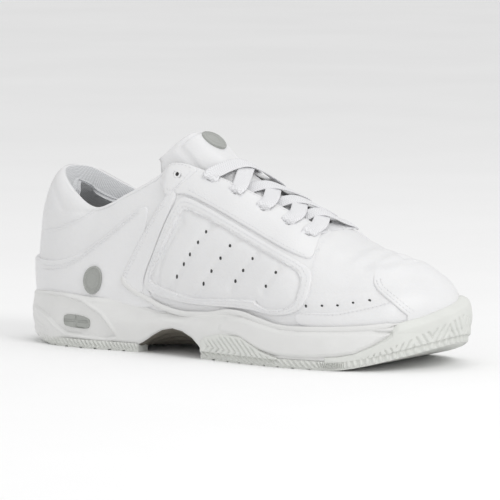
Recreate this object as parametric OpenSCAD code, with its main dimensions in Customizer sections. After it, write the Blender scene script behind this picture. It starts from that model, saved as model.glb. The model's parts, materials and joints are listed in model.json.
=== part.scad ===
// Low-cut leather court shoe, right foot, standing on its tread.
// +X points to the toe, +Y to the inner (medial) side, +Z up.
// The origin is on the floor under the middle of the shoe.

/* [Overall size] */
// Length of the shoe from heel to toe
shoe_length = 308; // [300:1:314]
// Widest part of the forefoot
forefoot_width = 113; // [108:1:118]
// Height of the top of the heel collar
collar_height = 111; // [108:1:114]

/* [Sole] */
// Thickness of the rubber outsole
outsole_thickness = 5; // [4:0.5:6]
// Height that the toe end of the sole rises off the floor
toe_spring = 15; // [12:1:18]
// Rise of the bevelled tread behind the heel
heel_bevel = 7; // [3:0.5:8]
// Height of the arch gap at the outer edge
arch_gap = 13; // [9:1:14]
// Depth of the tread grooves
tread_depth = 2; // [1.5:0.5:2.5]
// Width of the tread grooves
tread_groove = 2; // [1.5:0.5:2.5]

/* [Upper] */
// Thickness of the base leather
leather_thickness = 1.6; // [1.2:0.1:1.7]
// Thickness of the stitched overlays
overlay_thickness = 1.4; // [1:0.1:1.5]
// Thickness of the foam in the collar
collar_padding = 6; // [4:0.5:6.5]

/* [Tongue and lace] */
// Thickness of the tongue's foam
tongue_padding = 4; // [3:0.5:4.5]
// Width of the flat lace
lace_width = 7; // [6:0.5:8]
// Thickness of the flat lace
lace_thickness = 1.5; // [1.2:0.1:1.6]

/* [Hidden] */

leather = "#F0F0F2";
rubber = "#E3E4DE";
foam = "#E9E9E6";
grey_trim = "#8D8F8A";
dark_plastic = "#4A463C";
textile = "#D8DCE2";

x_scale = shoe_length / 308;
y_scale = forefoot_width / 113;
z_scale = collar_height / 111;

// The upper is one surface over 24 stations: 0 is the back of the heel, 1 to 11 run along the
// outer (lateral) side, 12 is the tip of the toe and 13 to 23 come back along the inner side.
TOE = 12;
TURN = 24;
feather_z = 24;
bed_z = 21.5;
pocket_z = 14;

// Feather line, where the upper meets the sole
feather_lateral = [[-148, 0], [-141, -22], [-121, -35], [-96, -39], [-72, -38], [-50, -38],
    [-30, -40], [0, -44], [35, -50], [68, -53], [100, -49], [130, -34], [149, 4]];
feather_medial = [[131, 36], [100, 49], [68, 50], [35, 43], [0, 35], [-30, 31], [-50, 32],
    [-72, 35], [-96, 36], [-121, 33], [-141, 21]];

// Top line: collar edge, throat edge and the ridge of the toe
top_lateral = [[-134, 0, 111], [-127, -17, 108], [-110, -27, 96], [-91, -31, 88], [-68, -31, 98],
    [-48, -28, 109], [-34, -25, 118], [-8, -19, 111], [25, -14, 98], [58, -9, 84], [85, 2, 72],
    [106, 4, 66], [118, 4, 63]];
top_medial = [[106, 4, 66], [85, 2, 72], [58, 11, 84], [25, 16, 98], [-8, 20, 111],
    [-34, 25, 117], [-48, 27, 109], [-68, 30, 99], [-91, 30, 91], [-110, 26, 98],
    [-127, 17, 108]];

// Fullness of the wall: outward swell low down, outward swell at the top, and drop at the top
swell_low = [6, 5, 4, 3, 2, 3, 3, 3, 3, 3, 3, 4, 5];
swell_top = [11, 11, 9, 6, 5, 6, 8, 15, 22, 30, 30, 24, 17];
drop_top = [3, 4, 6, 7, 8, 9, 9, 9, 8, 5, 2, 1, 1];
low_handle = 0.45;

function there_and_back(half) = concat(half, [for (i = [len(half) - 2 : -1 : 1]) half[i]]);
feather = [for (p = concat(feather_lateral, feather_medial)) [p.x * x_scale, p.y * y_scale]];
top_line = [for (p = concat(top_lateral, top_medial))
    [p.x * x_scale, p.y * y_scale, p.z * z_scale]];
swell_a = there_and_back(swell_low);
swell_b = there_and_back(swell_top);
drop_b = there_and_back(drop_top);

// Height of the midsole's rim at each station, and of its belly's overhang
rim_height = there_and_back([31, 31, 32, 30, 28, 30, 28, 28, 28, 25, 25, 27, 29]);
belly_out = there_and_back([4.2, 4.2, 4.2, 4.2, 4.2, 4.2, 4.2, 4.2, 4.2, 4.2, 4.2, 1.8, 1.8]);
rim_out = there_and_back([2.8, 2.8, 2.8, 2.8, 2.8, 2.8, 2.8, 2.8, 2.8, 2.8, 2.8, 1.6, 1.6]);

// ---------- curves and surfaces ----------

// Smooth closed curve through the rows of a table
function smooth(table, s) =
    let (n = len(table), v = ((s % n) + n) % n, i = floor(v), f = v - i,
        a = table[(i + n - 1) % n], b = table[i], c = table[(i + 1) % n], d = table[(i + 2) % n])
    b + 0.5 * f * ((c - a) + f * ((2 * a - 5 * b + 4 * c - d) + f * (3 * (b - c) + d - a)));

function unit(v) = v / norm(v);
function mix(a, b, f) = a + (b - a) * f;
function clamp01(v) = min(1, max(0, v));
function ease(v) = let (c = clamp01(v)) c * c * (3 - 2 * c);

// Straight-line look-up in a table of [position, value]
function table_at(rows, s) =
    let (i = len([for (r = rows) if (r[0] < s) 1]), a = rows[max(i - 1, 0)],
        b = rows[min(i, len(rows) - 1)])
    a[0] == b[0] ? a[1] : mix(a[1], b[1], (s - a[0]) / (b[0] - a[0]));

function mirror_station(s) = TURN - s;
function toe_distance(s) = abs(TOE - s);

// Horizontal direction away from the foot at a station
function outward(s) =
    let (d = smooth(feather, s + 0.02) - smooth(feather, s - 0.02)) unit([d.y, -d.x]);

// Point on the upper's surface: t is 0 at the feather line and 1 at the top line
function skin(s, t) =
    let (f = smooth(feather, s), o = outward(s), p3 = smooth(top_line, s),
        rise = p3.z - feather_z, a = smooth(swell_a, s), b = smooth(swell_b, s),
        p0 = [f.x, f.y, feather_z],
        p1 = p0 + [o.x * a, o.y * a, low_handle * rise],
        p2 = p3 + [o.x * b, o.y * b, -smooth(drop_b, s)], r = 1 - t)
    r * r * r * p0 + 3 * r * r * t * p1 + 3 * r * t * t * p2 + t * t * t * p3;

// The same point moved off the surface by h, outward when h is positive
function upper_at(s, t, h) =
    let (v = min(t, 0.98), along = skin(s + 0.01, v) - skin(s - 0.01, v),
        up = skin(s, v + 0.01) - skin(s, max(v - 0.01, 0)))
    skin(s, t) + h * unit(cross(along, up));

toe_rise_start = 95;
toe_rise_run = 55;
bevel_start = -117;
bevel_run = 31;

// Rise of the sole's underside off the floor, at the toe and at the heel's bevel
function floor_rise(x) =
    x > toe_rise_start ? toe_spring * pow((x - toe_rise_start) / toe_rise_run, 1.6)
    : x < bevel_start ? heel_bevel * pow((bevel_start - x) / bevel_run, 2) : 0;

// Point on the sole's side, o outside the feather line and at height z
function sole_at(s, o, z) =
    let (f = smooth(feather, s), d = outward(s)) [f.x + d.x * o, f.y + d.y * o, z];

// The same, at a height above the tread's top face
function on_tread(s, o, height) =
    let (p = sole_at(s, o, 0)) p + [0, 0, outsole_thickness + floor_rise(p.x) + height];

// ---------- solids from points ----------

// Closed solid whose faces may run either way round
module closed_solid(points, faces) {
    triangles = [for (f = faces) for (k = [1 : len(f) - 2]) [f[0], f[k], f[k + 1]]];
    volumes = [for (t = triangles) points[t[0]] * cross(points[t[1]], points[t[2]])];
    inside_out = volumes * [for (v = volumes) 1] < 0;
    polyhedron(points, inside_out ? triangles : [for (t = triangles) [t[2], t[1], t[0]]]);
}

// Plate between two grids of points with the same rows and columns.
// A folded plate's last row is one line that both halves of the columns share.
module plate(outer, inner, folded = false) {
    rows = len(outer);
    cols = len(outer[0]);
    size = rows * cols;
    function shared(i, j) = folded && i == rows - 1 && j > cols - 1 - j;
    function at(i, j) = i * cols + (shared(i, j) ? cols - 1 - j : j);
    face_rows = [for (i = [0 : rows - 2]) for (j = [0 : cols - 2])
        [at(i, j), at(i, j + 1), at(i + 1, j + 1), at(i + 1, j)]];
    other_side = [size, size, size, size];
    skin_faces = concat(face_rows, [for (f = face_rows) [f[0], f[3], f[2], f[1]] + other_side]);
    start_rim = [for (j = [0 : cols - 2])
        [at(0, j), at(0, j) + size, at(0, j + 1) + size, at(0, j + 1)]];
    side_rims = [for (i = [0 : rows - 2]) each [
        [at(i, 0), at(i + 1, 0), at(i + 1, 0) + size, at(i, 0) + size],
        [at(i, cols - 1), at(i, cols - 1) + size, at(i + 1, cols - 1) + size, at(i + 1, cols - 1)]]];
    end_rim = [for (j = [0 : cols - 2]) let (i = rows - 1)
        [at(i, j), at(i, j + 1), at(i, j + 1) + size, at(i, j) + size]];
    closed_solid(concat([for (r = outer) each r], [for (r = inner) each r]),
        concat(skin_faces, start_rim, side_rims, folded ? [] : end_rim));
}

// Solid through a list of closed rings; the end rings are closed by strips from side to side
module ring_stack(rings) {
    n = len(rings[0]);
    walls = [for (k = [0 : len(rings) - 2]) for (i = [0 : n - 1])
        [k * n + i, k * n + (i + 1) % n, (k + 1) * n + (i + 1) % n, (k + 1) * n + i]];
    first = [for (i = [0 : n / 2 - 1]) let (a = i, b = i + 1, c = (n - i - 1) % n, d = (n - i) % n)
        a == d ? [a, c, b] : b == c ? [a, d, b] : [a, d, c, b]];
    last_start = (len(rings) - 1) * n;
    last = [for (f = first) [for (k = [len(f) - 1 : -1 : 0]) f[k] + last_start]];
    closed_solid([for (r = rings) each r], concat(walls, first, last));
}

// Frame that runs round a closed line: each row holds the corners of its section
module closed_frame(sections) {
    n = len(sections);
    m = len(sections[0]);
    closed_solid([for (s = sections) each s], [for (i = [0 : n - 1]) for (j = [0 : m - 1])
        [i * m + j, i * m + (j + 1) % m, ((i + 1) % n) * m + (j + 1) % m, ((i + 1) % n) * m + j]]);
}

// Patch of the upper between two stations, from t_low(s) to t_high(s), h_out to h_in off the skin
module upper_patch(s0, s1, t_low, t_high, h_out, h_in, rows, cols) {
    function grid(h) = [for (i = [0 : rows]) let (s = mix(s0, s1, i / rows))
        [for (j = [0 : cols]) upper_at(s, mix(t_low(s), t_high(s), j / cols), h)]];
    plate(grid(h_out), grid(h_in));
}

// Hood over the toe, from station s_edge(t) on the outer side round to its mirror on the inner
module toe_hood(s_edge, t_low, h_out, h_in, rows, cols) {
    function half(i, side, h) = [for (j = [0 : cols]) let (t = mix(t_low, 1, j / cols),
        s = mix(s_edge(t), TOE, i / rows)) upper_at(side > 0 ? s : mirror_station(s), t, h)];
    function row(i, h) = let (a = half(i, 1, h), b = half(i, -1, h))
        concat([for (j = [0 : cols - 1]) a[j]], [(a[cols] + b[cols]) / 2],
            [for (j = [cols - 1 : -1 : 0]) b[j]]);
    plate([for (i = [0 : rows]) row(i, h_out)], [for (i = [0 : rows]) row(i, h_in)], folded = true);
}

// Patch of the sole's side between two stations
module side_patch(s0, s1, z_low, z_high, o_out, o_in, rows, cols) {
    function grid(o) = [for (i = [0 : rows]) let (s = mix(s0, s1, i / rows))
        [for (j = [0 : cols]) sole_at(s, o, mix(z_low(s), z_high(s), j / cols))]];
    plate(grid(o_out), grid(o_in));
}

// Level layer with the shoe's outline moved out by o, over all or part of the length
module outline_layer(o, z0, z1, s_end = TOE) {
    count = 20;
    half = [for (i = [0 : count]) s_end * i / count];
    function ring(z) = concat([for (s = half) sole_at(s, o, z)],
        [for (i = [count - 1 : -1 : 1]) sole_at(mirror_station(half[i]), o, z)]);
    ring_stack([ring(z0), ring(z1)]);
}

// Value for the outer side, or mirrored to the inner side
function on_side(side, s) = side > 0 ? s : mirror_station(s);
function outer_station(s) = s > TOE ? mirror_station(s) : s;

// ---------- sole ----------

tread_overhang = 3;
forefoot_start = 6.95;
heel_end = 4.85;
heel_front = -50;
heel_notch = [22, 31];

// One zigzag groove across the sole
module zigzag(x) {
    reach = 70;
    step = 10;
    swing = 4;
    edge = [for (i = [0 : 2 * reach / step]) [x + (i % 2 == 0 ? swing : -swing), i * step - reach]];
    back = [for (i = [len(edge) - 1 : -1 : 0]) edge[i] + [tread_groove, 0]];
    translate([0, 0, -1]) linear_extrude(tread_depth + 1) polygon(concat(edge, back));
}

// Rubber tread over the side-on positions xs: flat underneath, rising at the toe and the heel
module tread(outline, xs, groove_from, groove_step, groove_count) {
    under = [for (x = xs) [x, floor_rise(x)]];
    over = [for (i = [len(xs) - 1 : -1 : 0]) under[i] + [0, outsole_thickness]];
    difference() {
        intersection() {
            linear_extrude(40) polygon(outline);
            rotate([90, 0, 0]) linear_extrude(150, center = true) polygon(concat(under, over));
        }
        for (i = [0 : groove_count - 1]) zigzag(groove_from + i * groove_step);
    }
}

function tread_outline(s0, s1, count) = [for (i = [0 : count])
    let (p = sole_at(mix(s0, s1, i / count), tread_overhang, 0)) [p.x, p.y]];

module outsole_forefoot() {
    rising = [for (i = [0 : 8]) toe_rise_start + 8 * i];
    color(rubber) tread(tread_outline(forefoot_start, mirror_station(forefoot_start), 40),
        concat([-14], rising), 5, 11, 8);
}

module outsole_heel() {
    bevel = concat([for (i = [8 : -1 : 0]) bevel_start - 5 * i], [heel_front + 10]);
    color(rubber) difference() {
        tread(tread_outline(-heel_end, heel_end, 24), bevel, -128, 11, 7);
        translate([heel_front, 0, -1]) linear_extrude(height = 8) scale(heel_notch) circle(r = 1, $fn = 40);
    }
}

// Rubber that wraps up the forefoot's side behind the ball of the foot
module side_tread(side) {
    color(rubber) side_patch(on_side(side, 7.02), on_side(side, 8.7), function(s) 5.6,
        function(s) table_at([[7, 15], [7.9, 16.3], [8.3, 9.5], [8.7, 6.8]], outer_station(s)),
        6, 4.6, 6, 2);
}

// Smooth lens-shaped wall beside the ball of the foot
module sidewall(side) {
    low = [[7.5, 18.3], [7.95, 16.8], [8.3, 10.5], [8.7, 7.5], [9.5, 8], [10.2, 11], [10.6, 17],
        [10.9, 23]];
    high = [[7.5, 18.8], [7.95, 24], [8.7, 22.5], [9.4, 22.8], [10.1, 23.6], [10.9, 24]];
    color(foam) side_patch(on_side(side, 7.5), on_side(side, 10.4),
        function(s) table_at(low, outer_station(s)) + 0.3,
        function(s) table_at(high, outer_station(s)), 5.6, 4.6, 10, 2);
}

module toe_guard() {
    half_span = 1.35;
    rows = 24;
    function reach(s) = 0.36 - 0.30 * pow(toe_distance(s) / 1.2, 0.9);
    function row(s, extra) = concat([on_tread(s, 2.9 + extra, 0.7)], [for (f = [0, 0.25, 0.5, 0.75, 1])
        upper_at(s, mix(0, reach(s), f), 2.5 + extra * (1 - 0.4 * f))]);
    stations = [for (i = [0 : rows]) mix(TOE - half_span, TOE + half_span, i / rows)];
    color(rubber) plate([for (s = stations) row(s, 2.2)], [for (s = stations) row(s, 0)]);
}

// Lift of the midsole's underside over the arch: high at the outer edge, low inside
function arch_lift(s) =
    let (f = (outer_station(s) - heel_end) / (forefoot_start + 0.05 - heel_end),
        bump = f > 0 && f < 1 ? pow(sin(180 * f), 0.6) : 0)
    bump * (s > TOE ? 0.35 * arch_gap : arch_gap);

midsole_count = 96;

// The midsole is a foam tray: underside, belly, rim and a bed with a deeper heel pocket
module midsole() {
    stations = [for (i = [0 : midsole_count - 1]) TURN * i / midsole_count];
    function under(s, o, share) = on_tread(s, o, 0.35 + share * arch_lift(s));
    function narrow(p) = [p.x * 0.97, p.y * 0.45, p.z];
    function rim_t(s) = (smooth(rim_height, s) - feather_z)
        / (3 * low_handle * (smooth(top_line, s).z - feather_z));
    function bed(s) = mix(pocket_z, bed_z, ease((outer_station(s) - 3.2) / 0.8));
    color(foam) ring_stack([
        [for (s = stations) narrow(under(s, 0, 0.15))],
        [for (s = stations) under(s, 2.2, 1)],
        [for (s = stations) sole_at(s, smooth(belly_out, s), mix(under(s, 2.2, 1).z, feather_z, 0.4))],
        [for (s = stations) upper_at(s, rim_t(s), smooth(rim_out, s))],
        [for (s = stations) upper_at(s, rim_t(s), 0.5)],
        [for (s = stations) upper_at(s, 0, 0.5) - [0, 0, 0.4]],
        [for (s = stations) sole_at(s, -1.5, bed_z)],
        [for (s = stations) sole_at(s, -5, bed(s))]]);
}

module heel_cushion() {
    color("#A9C4D6") outline_layer(-7, pocket_z + 0.4, bed_z - 0.3, 3.1);
}

// Dark plate under the waist; it follows the midsole's underside a little below it
module shank_plate() {
    thickness = 1.8;
    gap = 1.3;
    step = TURN / midsole_count;
    function edge(s, h) = on_tread(s, 2.2, arch_lift(s) + h);
    function middle(s, h) =
        let (p = on_tread(s, 0, 0.15 * arch_lift(s) + h)) [p.x * 0.97, p.y * 0.45, p.z];
    function row(s, h) = let (m = mirror_station(s)) [edge(s, h), middle(s, h), middle(m, h), edge(m, h)];
    function grid(h) = [for (i = [ceil((heel_end + 0.1) / step) : floor((forefoot_start - 0.1) / step)])
        row(i * step, h)];
    color(dark_plastic) plate(grid(0.35 - gap), grid(0.35 - gap - thickness));
}

// Moulded band over the eye-shaped recess at the heel's side, down to its front tip
module heel_stabiliser(side) {
    top_z = [[0.3, 31], [1.2, 33], [2.4, 34], [3.1, 31.5], [3.6, 22], [4.1, 11.5]];
    low_z = [[0.3, 26.5], [1.2, 28.5], [2.4, 30], [3.1, 26], [3.6, 16], [4.1, 6.5]];
    color(rubber) side_patch(on_side(side, 0.3), on_side(side, 4.1),
        function(s) table_at(low_z, outer_station(s)), function(s) table_at(top_z, outer_station(s)),
        6, 4.5, 16, 2);
}

// Ribbed window in the recess
module heel_insert(side) {
    color(grey_trim) side_patch(on_side(side, 2.5), on_side(side, 3.22), function(s) 12.2,
        function(s) 20.4 - 1.6 * (outer_station(s) - 2.5), 5.2, 4.5, 4, 1);
}

module insole_board() {
    color("#C8B48C") outline_layer(-3.2, bed_z + 0.2, bed_z + 2.2);
}

// ---------- inner stiffeners and linings ----------

counter_h = -leather_thickness - 0.4;
lining_h = counter_h - 1.6;

module heel_counter() {
    color("#DAD7CF") upper_patch(-3.7, 3.7, function(s) 0.02,
        function(s) 0.46 - 0.02 * abs(s), counter_h - 0.1, counter_h - 1.1, 16, 4);
}

module toe_puff() {
    color("#DAD7CF") toe_hood(function(t) 10.9, 0.03, counter_h - 0.5, counter_h - 1.4, 7, 6);
}

// Share of the full collar padding at a point: full round the heel, none by the eyestays
function padding_share(s, t) = ease((t - 0.50) / 0.12) * ease((4.7 - abs(s)) / 1.5);

module collar_foam() {
    function depth(s, t) =
        collar_padding * padding_share(s, t) * sin(180 * clamp01((t - 0.44) / 0.62));
    function grid(inner) = [for (i = [0 : 18]) let (s = mix(-4.4, 4.4, i / 18)) [for (j = [0 : 5])
        let (t = mix(0.56, 0.94, j / 5), cut = inner ? depth(s, t) + 0.4 : 0)
            upper_at(s, t, counter_h - 0.2 - cut)]];
    color("#E6DFA8") plate(grid(false), grid(true));
}

module collar_lining() {
    function depth(s, t) = lining_h - collar_padding * padding_share(s, t);
    function grid(extra) = [for (i = [0 : 20]) let (s = mix(-5.4, 5.4, i / 20)) [for (j = [0 : 8])
        let (t = mix(0.05, 0.97, j / 8)) upper_at(s, t, depth(s, t) - extra)]];
    color(textile) plate(grid(0), grid(1));
}

module vamp_lining() {
    color(textile) toe_hood(function(t) 9.5, 0.05, lining_h, lining_h - 0.8, 6, 5);
}

// ---------- upper ----------

overlay_h = 0.5;
overlay_top = overlay_h + overlay_thickness;
second_h = overlay_top + 0.4;

module quarter(side) {
    color(leather) upper_patch(on_side(side, 0.02), on_side(side, 9.35), function(s) 0, function(s) 1,
        0, -leather_thickness, 22, 8);
}

module vamp() {
    color(leather) toe_hood(function(t) 9.38, 0, 0, -leather_thickness, 8, 7);
}

module toe_cap() {
    color(leather) toe_hood(function(t) 10.75 - 0.2 * t, 0.40, overlay_top, overlay_h, 5, 5);
}

// Low strip between the sole and the row of vents
module vamp_rand(side) {
    color(leather) upper_patch(on_side(side, 9.5), on_side(side, 10.6), function(s) 0.06,
        function(s) table_at([[9.5, 0.14], [10, 0.165], [10.6, 0.25]], outer_station(s)),
        overlay_top, overlay_h + 0.2, 6, 1);
}

panel_inner_line = [[6.4, 0.55], [6.6, 0.59], [7.5, 0.56], [8.35, 0.51], [9.1, 0.46], [9.2, 0.38],
    [9.12, 0.2], [8.88, 0.14], [8.55, 0.12], [8.2, 0.16], [7.1, 0.12], [6.5, 0.11], [5.8, 0.14],
    [5.3, 0.18], [5.35, 0.22], [5.95, 0.38]];
panel_outer_line = [[6.25, 0.64], [6.55, 0.67], [7.5, 0.64], [8.4, 0.585], [9.3, 0.51], [9.42, 0.4],
    [9.32, 0.18], [9, 0.1], [8.55, 0.08], [8.2, 0.09], [7.1, 0.085], [6.5, 0.085], [5.75, 0.1],
    [5.1, 0.14], [5.05, 0.22], [5.65, 0.4]];

// Raised frame that the panel's edge is stitched under
module panel_frame(side) {
    function section(a, b) =
        [upper_at(a[0], a[1], overlay_top), upper_at(b[0], b[1], overlay_top),
            upper_at(b[0], b[1], overlay_h), upper_at(a[0], a[1], overlay_h)];
    function halved(line) = [for (i = [0 : len(line) - 1]) each
        [line[i], (line[i] + line[(i + 1) % len(line)]) / 2]];
    function placed(p) = [on_side(side, p[0]), p[1]];
    outer_line = halved(panel_outer_line);
    inner_line = halved(panel_inner_line);
    color(leather) closed_frame([for (i = [0 : len(outer_line) - 1])
        section(placed(outer_line[i]), placed(inner_line[i]))]);
}

// Perforated panel sunk inside the frame: i / 8 runs forward and f runs up
module side_panel(side) {
    function station(g, f) = mix(mix(5.5, 6.55, f), mix(8.95, 9.02, f), g);
    function height(g, f) = mix(mix(0.17, 0.19, g), mix(0.54, 0.42, g), f);
    function grid(h) = [for (i = [0 : 8]) [for (j = [0 : 3])
        upper_at(on_side(side, station(i / 8, j / 3)), height(i / 8, j / 3), h)]];
    color(leather) plate(grid(1), grid(0.4));
}

module eyestay(side) {
    color(leather) upper_patch(on_side(side, 6.45), on_side(side, 9.3),
        function(s) table_at([[6.4, 0.71], [8, 0.63], [9.3, 0.54]], outer_station(s)), function(s) 0.98,
        overlay_top, overlay_h, 8, 3);
}

module eyelet_tab(side) {
    color(leather) upper_patch(on_side(side, 5.6), on_side(side, 6.4), function(s) 0.7,
        function(s) 0.96, overlay_top + 0.6, overlay_h, 3, 2);
}

module saddle_strap(side) {
    function grid(h) = [for (i = [0 : 6]) let (f = i / 6) [for (j = [0 : 2])
        let (s = mix(mix(4.35, 4.72, j / 2), mix(5.7, 5.98, j / 2), f), t = mix(0.13, 0.64, f))
        upper_at(on_side(side, s), t, h)]];
    color(leather) plate(grid(overlay_top), grid(overlay_h));
}

function heel_edge(s) = table_at([[0, 0.22], [1, 0.23], [2, 0.29], [3, 0.47], [4, 0.62]], abs(s));

module heel_overlay() {
    color(leather) upper_patch(-4.15, 4.15, function(s) 0.12, function(s) heel_edge(s),
        overlay_top, overlay_h, 18, 4);
}

// Padded cover behind the Achilles tendon
module achilles_collar() {
    color(leather) upper_patch(-2.9, 2.9,
        function(s) table_at([[0, 0.4], [1.4, 0.43], [2, 0.54], [2.9, 0.8]], abs(s)),
        function(s) 0.98, overlay_top, overlay_h, 14, 4);
}

// Plain oval badge
module oval_badge(centre, radii, place) {
    sides = 16;
    rim = [for (i = [0 : sides - 1]) let (a = 360 * i / sides)
        centre + [radii[0] * cos(a), radii[1] * sin(a)]];
    function disc(h) = concat([place(centre, h)], [for (p = rim) place(p, h)]);
    fan = [for (i = [0 : sides - 1]) [0, i + 1, (i + 1) % sides + 1]];
    low = sides + 1;
    closed_solid(concat(disc(0.7), disc(0)), concat(fan,
        [for (f = fan) [f[0] + low, f[2] + low, f[1] + low]],
        [for (f = fan) [f[2], f[1], f[1] + low, f[2] + low]]));
}

module heel_badge(side) {
    color(grey_trim) oval_badge([3.3, 0.22], [0.27, 0.1],
        function(p, h) upper_at(on_side(side, p[0]), p[1], overlay_top + 0.4 + h));
}

// ---------- tongue ----------

// Centre line of the tongue from the throat's foot to its top, its half width, and how far its
// edges hang from the middle
tongue_line = [[64, 0, 75.5], [44, 0, 85.5], [21, 0, 97.5], [0, 0, 110.5], [-13, 0, 121],
    [-26, 0, 131], [-36, 0, 135.5]];
tongue_half = [6, 13, 20, 22.5, 22.5, 22, 21];
tongue_sag = [[-1, 0, -3], [-2, 0, -8], [-4, 0, -13], [-7, 0, -17], [-13, 0, -21], [-22, 0, -25],
    [-28, 0, -24]];
fold_at = 4;
tongue_end = 6;
cover_thickness = 1;

// Smooth open curve through the rows of a table
function smooth_open(table, v) =
    let (n = len(table) - 1, i = min(floor(v), n - 1), f = v - i,
        b = table[i], c = table[i + 1], a = i > 0 ? table[i - 1] : 2 * b - c,
        d = i < n - 1 ? table[i + 2] : 2 * c - b)
    b + 0.5 * f * ((c - a) + f * ((2 * a - 5 * b + 4 * c - d) + f * (3 * (b - c) + d - a)));

// Straight-line look-up by row number
function straight(table, v) =
    let (i = min(floor(v), len(table) - 2)) mix(table[i], table[i + 1], v - i);

// Point on the tongue's top face: a runs up the tongue, b from edge to edge
function tongue_face(a, b) = smooth_open(tongue_line, a) + [0, straight(tongue_half, a) * b, 0]
    + straight(tongue_sag, a) * pow(abs(b), mix(2, 3, ease((a - 3.8) / 1.6)));

function tongue_at(a, b, h) =
    let (low = max(a - 0.03, 0), high = min(a + 0.03, tongue_end),
        along = tongue_face(high, b) - tongue_face(low, b),
        across = tongue_face(a, b - 0.02) - tongue_face(a, b + 0.02), up = cross(along, across))
    tongue_face(a, b) + h * unit(up.z < 0 ? -up : up);

module tongue_layer(a0, a1, h_out, h_in, reach, rows) {
    cols = 12;
    function grid(h) = [for (i = [0 : rows]) [for (j = [0 : cols])
        tongue_at(mix(a0, a1, i / rows), reach * (2 * j / cols - 1), h)]];
    plate(grid(h_out), grid(h_in));
}

foam_top = -cover_thickness - 0.4;
lining_top = foam_top - tongue_padding - 0.4;
fold_gap = 0.12;

module tongue_cover() {
    color(leather) tongue_layer(0.1, fold_at - fold_gap, 0, -cover_thickness, 1, 8);
}

module tongue_foam() {
    color("#E6DFA8") tongue_layer(0.4, fold_at - fold_gap - 0.05, foam_top,
        foam_top - tongue_padding, 0.9, 8);
}

module tongue_lining() {
    color(textile) tongue_layer(0.1, fold_at - fold_gap, lining_top, lining_top - 0.8, 0.96, 8);
}

module tongue_top_cover() {
    color(leather) tongue_layer(fold_at + fold_gap, tongue_end, 0, -cover_thickness, 1, 5);
}

module tongue_top_foam() {
    color("#E6DFA8") tongue_layer(fold_at + fold_gap + 0.05, tongue_end - 0.1, foam_top,
        foam_top - tongue_padding, 0.9, 5);
}

module tongue_top_lining() {
    color(textile) tongue_layer(fold_at + fold_gap, tongue_end, lining_top, lining_top - 0.8, 0.96, 5);
}

module tongue_badge() {
    color(grey_trim) oval_badge([4.95, 0], [0.6, 0.36], function(p, h) tongue_at(p[0], p[1], 1 + h));
}

// ---------- lace ----------

lace_rows = [6.95, 7.5, 8.1, 8.65, 9.1];
eyelet_t = [0.90, 0.89, 0.87, 0.85, 0.83];
lace_over = 3;
lace_stack = 2.4;

over_h = overlay_top + 1.2;
under_h = -leather_thickness - 1.6;

// Lace points at an eyelet and at the throat's edge, above and under the leather
function eyelet_over(side, k) = upper_at(on_side(side, lace_rows[k]), eyelet_t[k], over_h);
function eyelet_under(side, k) = upper_at(on_side(side, lace_rows[k]), eyelet_t[k], under_h);
function edge_over(side, k) = upper_at(on_side(side, lace_rows[k]), 1, over_h);
function edge_under(side, k) = upper_at(on_side(side, lace_rows[k]), 1, under_h);
function tucked_end(side) = upper_at(on_side(side, 6.2), 0.8, under_h);

// Height of the tongue's middle under a crossing
function tongue_middle(x) =
    let (hits = [for (i = [0 : 60]) let (p = smooth_open(tongue_line, i / 10)) if (p.x < x) p.z])
    hits[0];

// Middle of the crossing from row k on one side to the row above on the other
function crossing(side, k) =
    let (a = edge_over(side, k), b = edge_over(-side, k - 1), m = (a + b) / 2,
        z = max(m.z + 2, tongue_middle(m.x) + lace_over)) [m.x, m.y, z + (side > 0 ? 0 : lace_stack)];

// One strand from row k up to the top row, where its end is tucked under the leather
function strand(side, k) = k == 0 ? [] :
    let (over = eyelet_over(side, k), top = k == 1)
    concat([eyelet_under(side, k), over, mix(over, edge_over(side, k), 0.7), crossing(side, k)],
        top ? [edge_over(-side, 0), eyelet_over(-side, 0), eyelet_under(-side, 0), tucked_end(-side)]
            : [edge_under(-side, k - 1)],
        strand(-side, k - 1));

function reversed(list) = [for (i = [len(list) - 1 : -1 : 0]) list[i]];

lowest = len(lace_rows) - 1;
// Middle of the bar that joins the lowest pair of eyelets, on top of the tongue's foot
bottom_bar = let (m = (eyelet_under(1, lowest) + eyelet_under(-1, lowest)) / 2)
    [m.x, m.y, tongue_middle(m.x) + 2];
lace_route = concat(reversed(strand(1, lowest)),
    [bottom_bar], strand(-1, lowest));
instep = unit([-0.87, 0, 0.5]);

// Flat cord swept along a route, its width laid along the instep
module flat_cord(route, width, thickness) {
    n = len(route);
    section = [[0.5, 0], [0.42, 0.4], [0, 0.5], [-0.42, 0.4], [-0.5, 0], [-0.42, -0.4], [0, -0.5],
        [0.42, -0.4]];
    function ring(i) = let (d = unit(route[min(i + 1, n - 1)] - route[max(i - 1, 0)]),
        w = unit(instep - (instep * d) * d), u = cross(d, w))
        [for (p = section) route[i] + p.x * width * w + p.y * thickness * u];
    ring_stack([for (i = [0 : n - 1]) ring(i)]);
}

module lace() {
    color(leather) flat_cord(lace_route, lace_width, lace_thickness);
}

module lace_aglets() {
    color(textile) for (side = [1, -1]) {
        start = tucked_end(side);
        end = upper_at(on_side(side, 6), 0.6, under_h);
        flat_cord([mix(start, end, 0.08), end], lace_width * 0.7, lace_thickness);
    }
}

// ---------- sockliner ----------

sock_z = bed_z + 2.5;
sock_thickness = 4;
sock_inset = -6.5;

module sockliner() {
    color("#BFD3E6") outline_layer(sock_inset, sock_z, sock_z + sock_thickness);
}

module sockliner_fabric() {
    sock_top = sock_z + sock_thickness;
    color(textile) outline_layer(sock_inset - 0.5, sock_top + 0.1, sock_top + 0.9);
}

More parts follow.
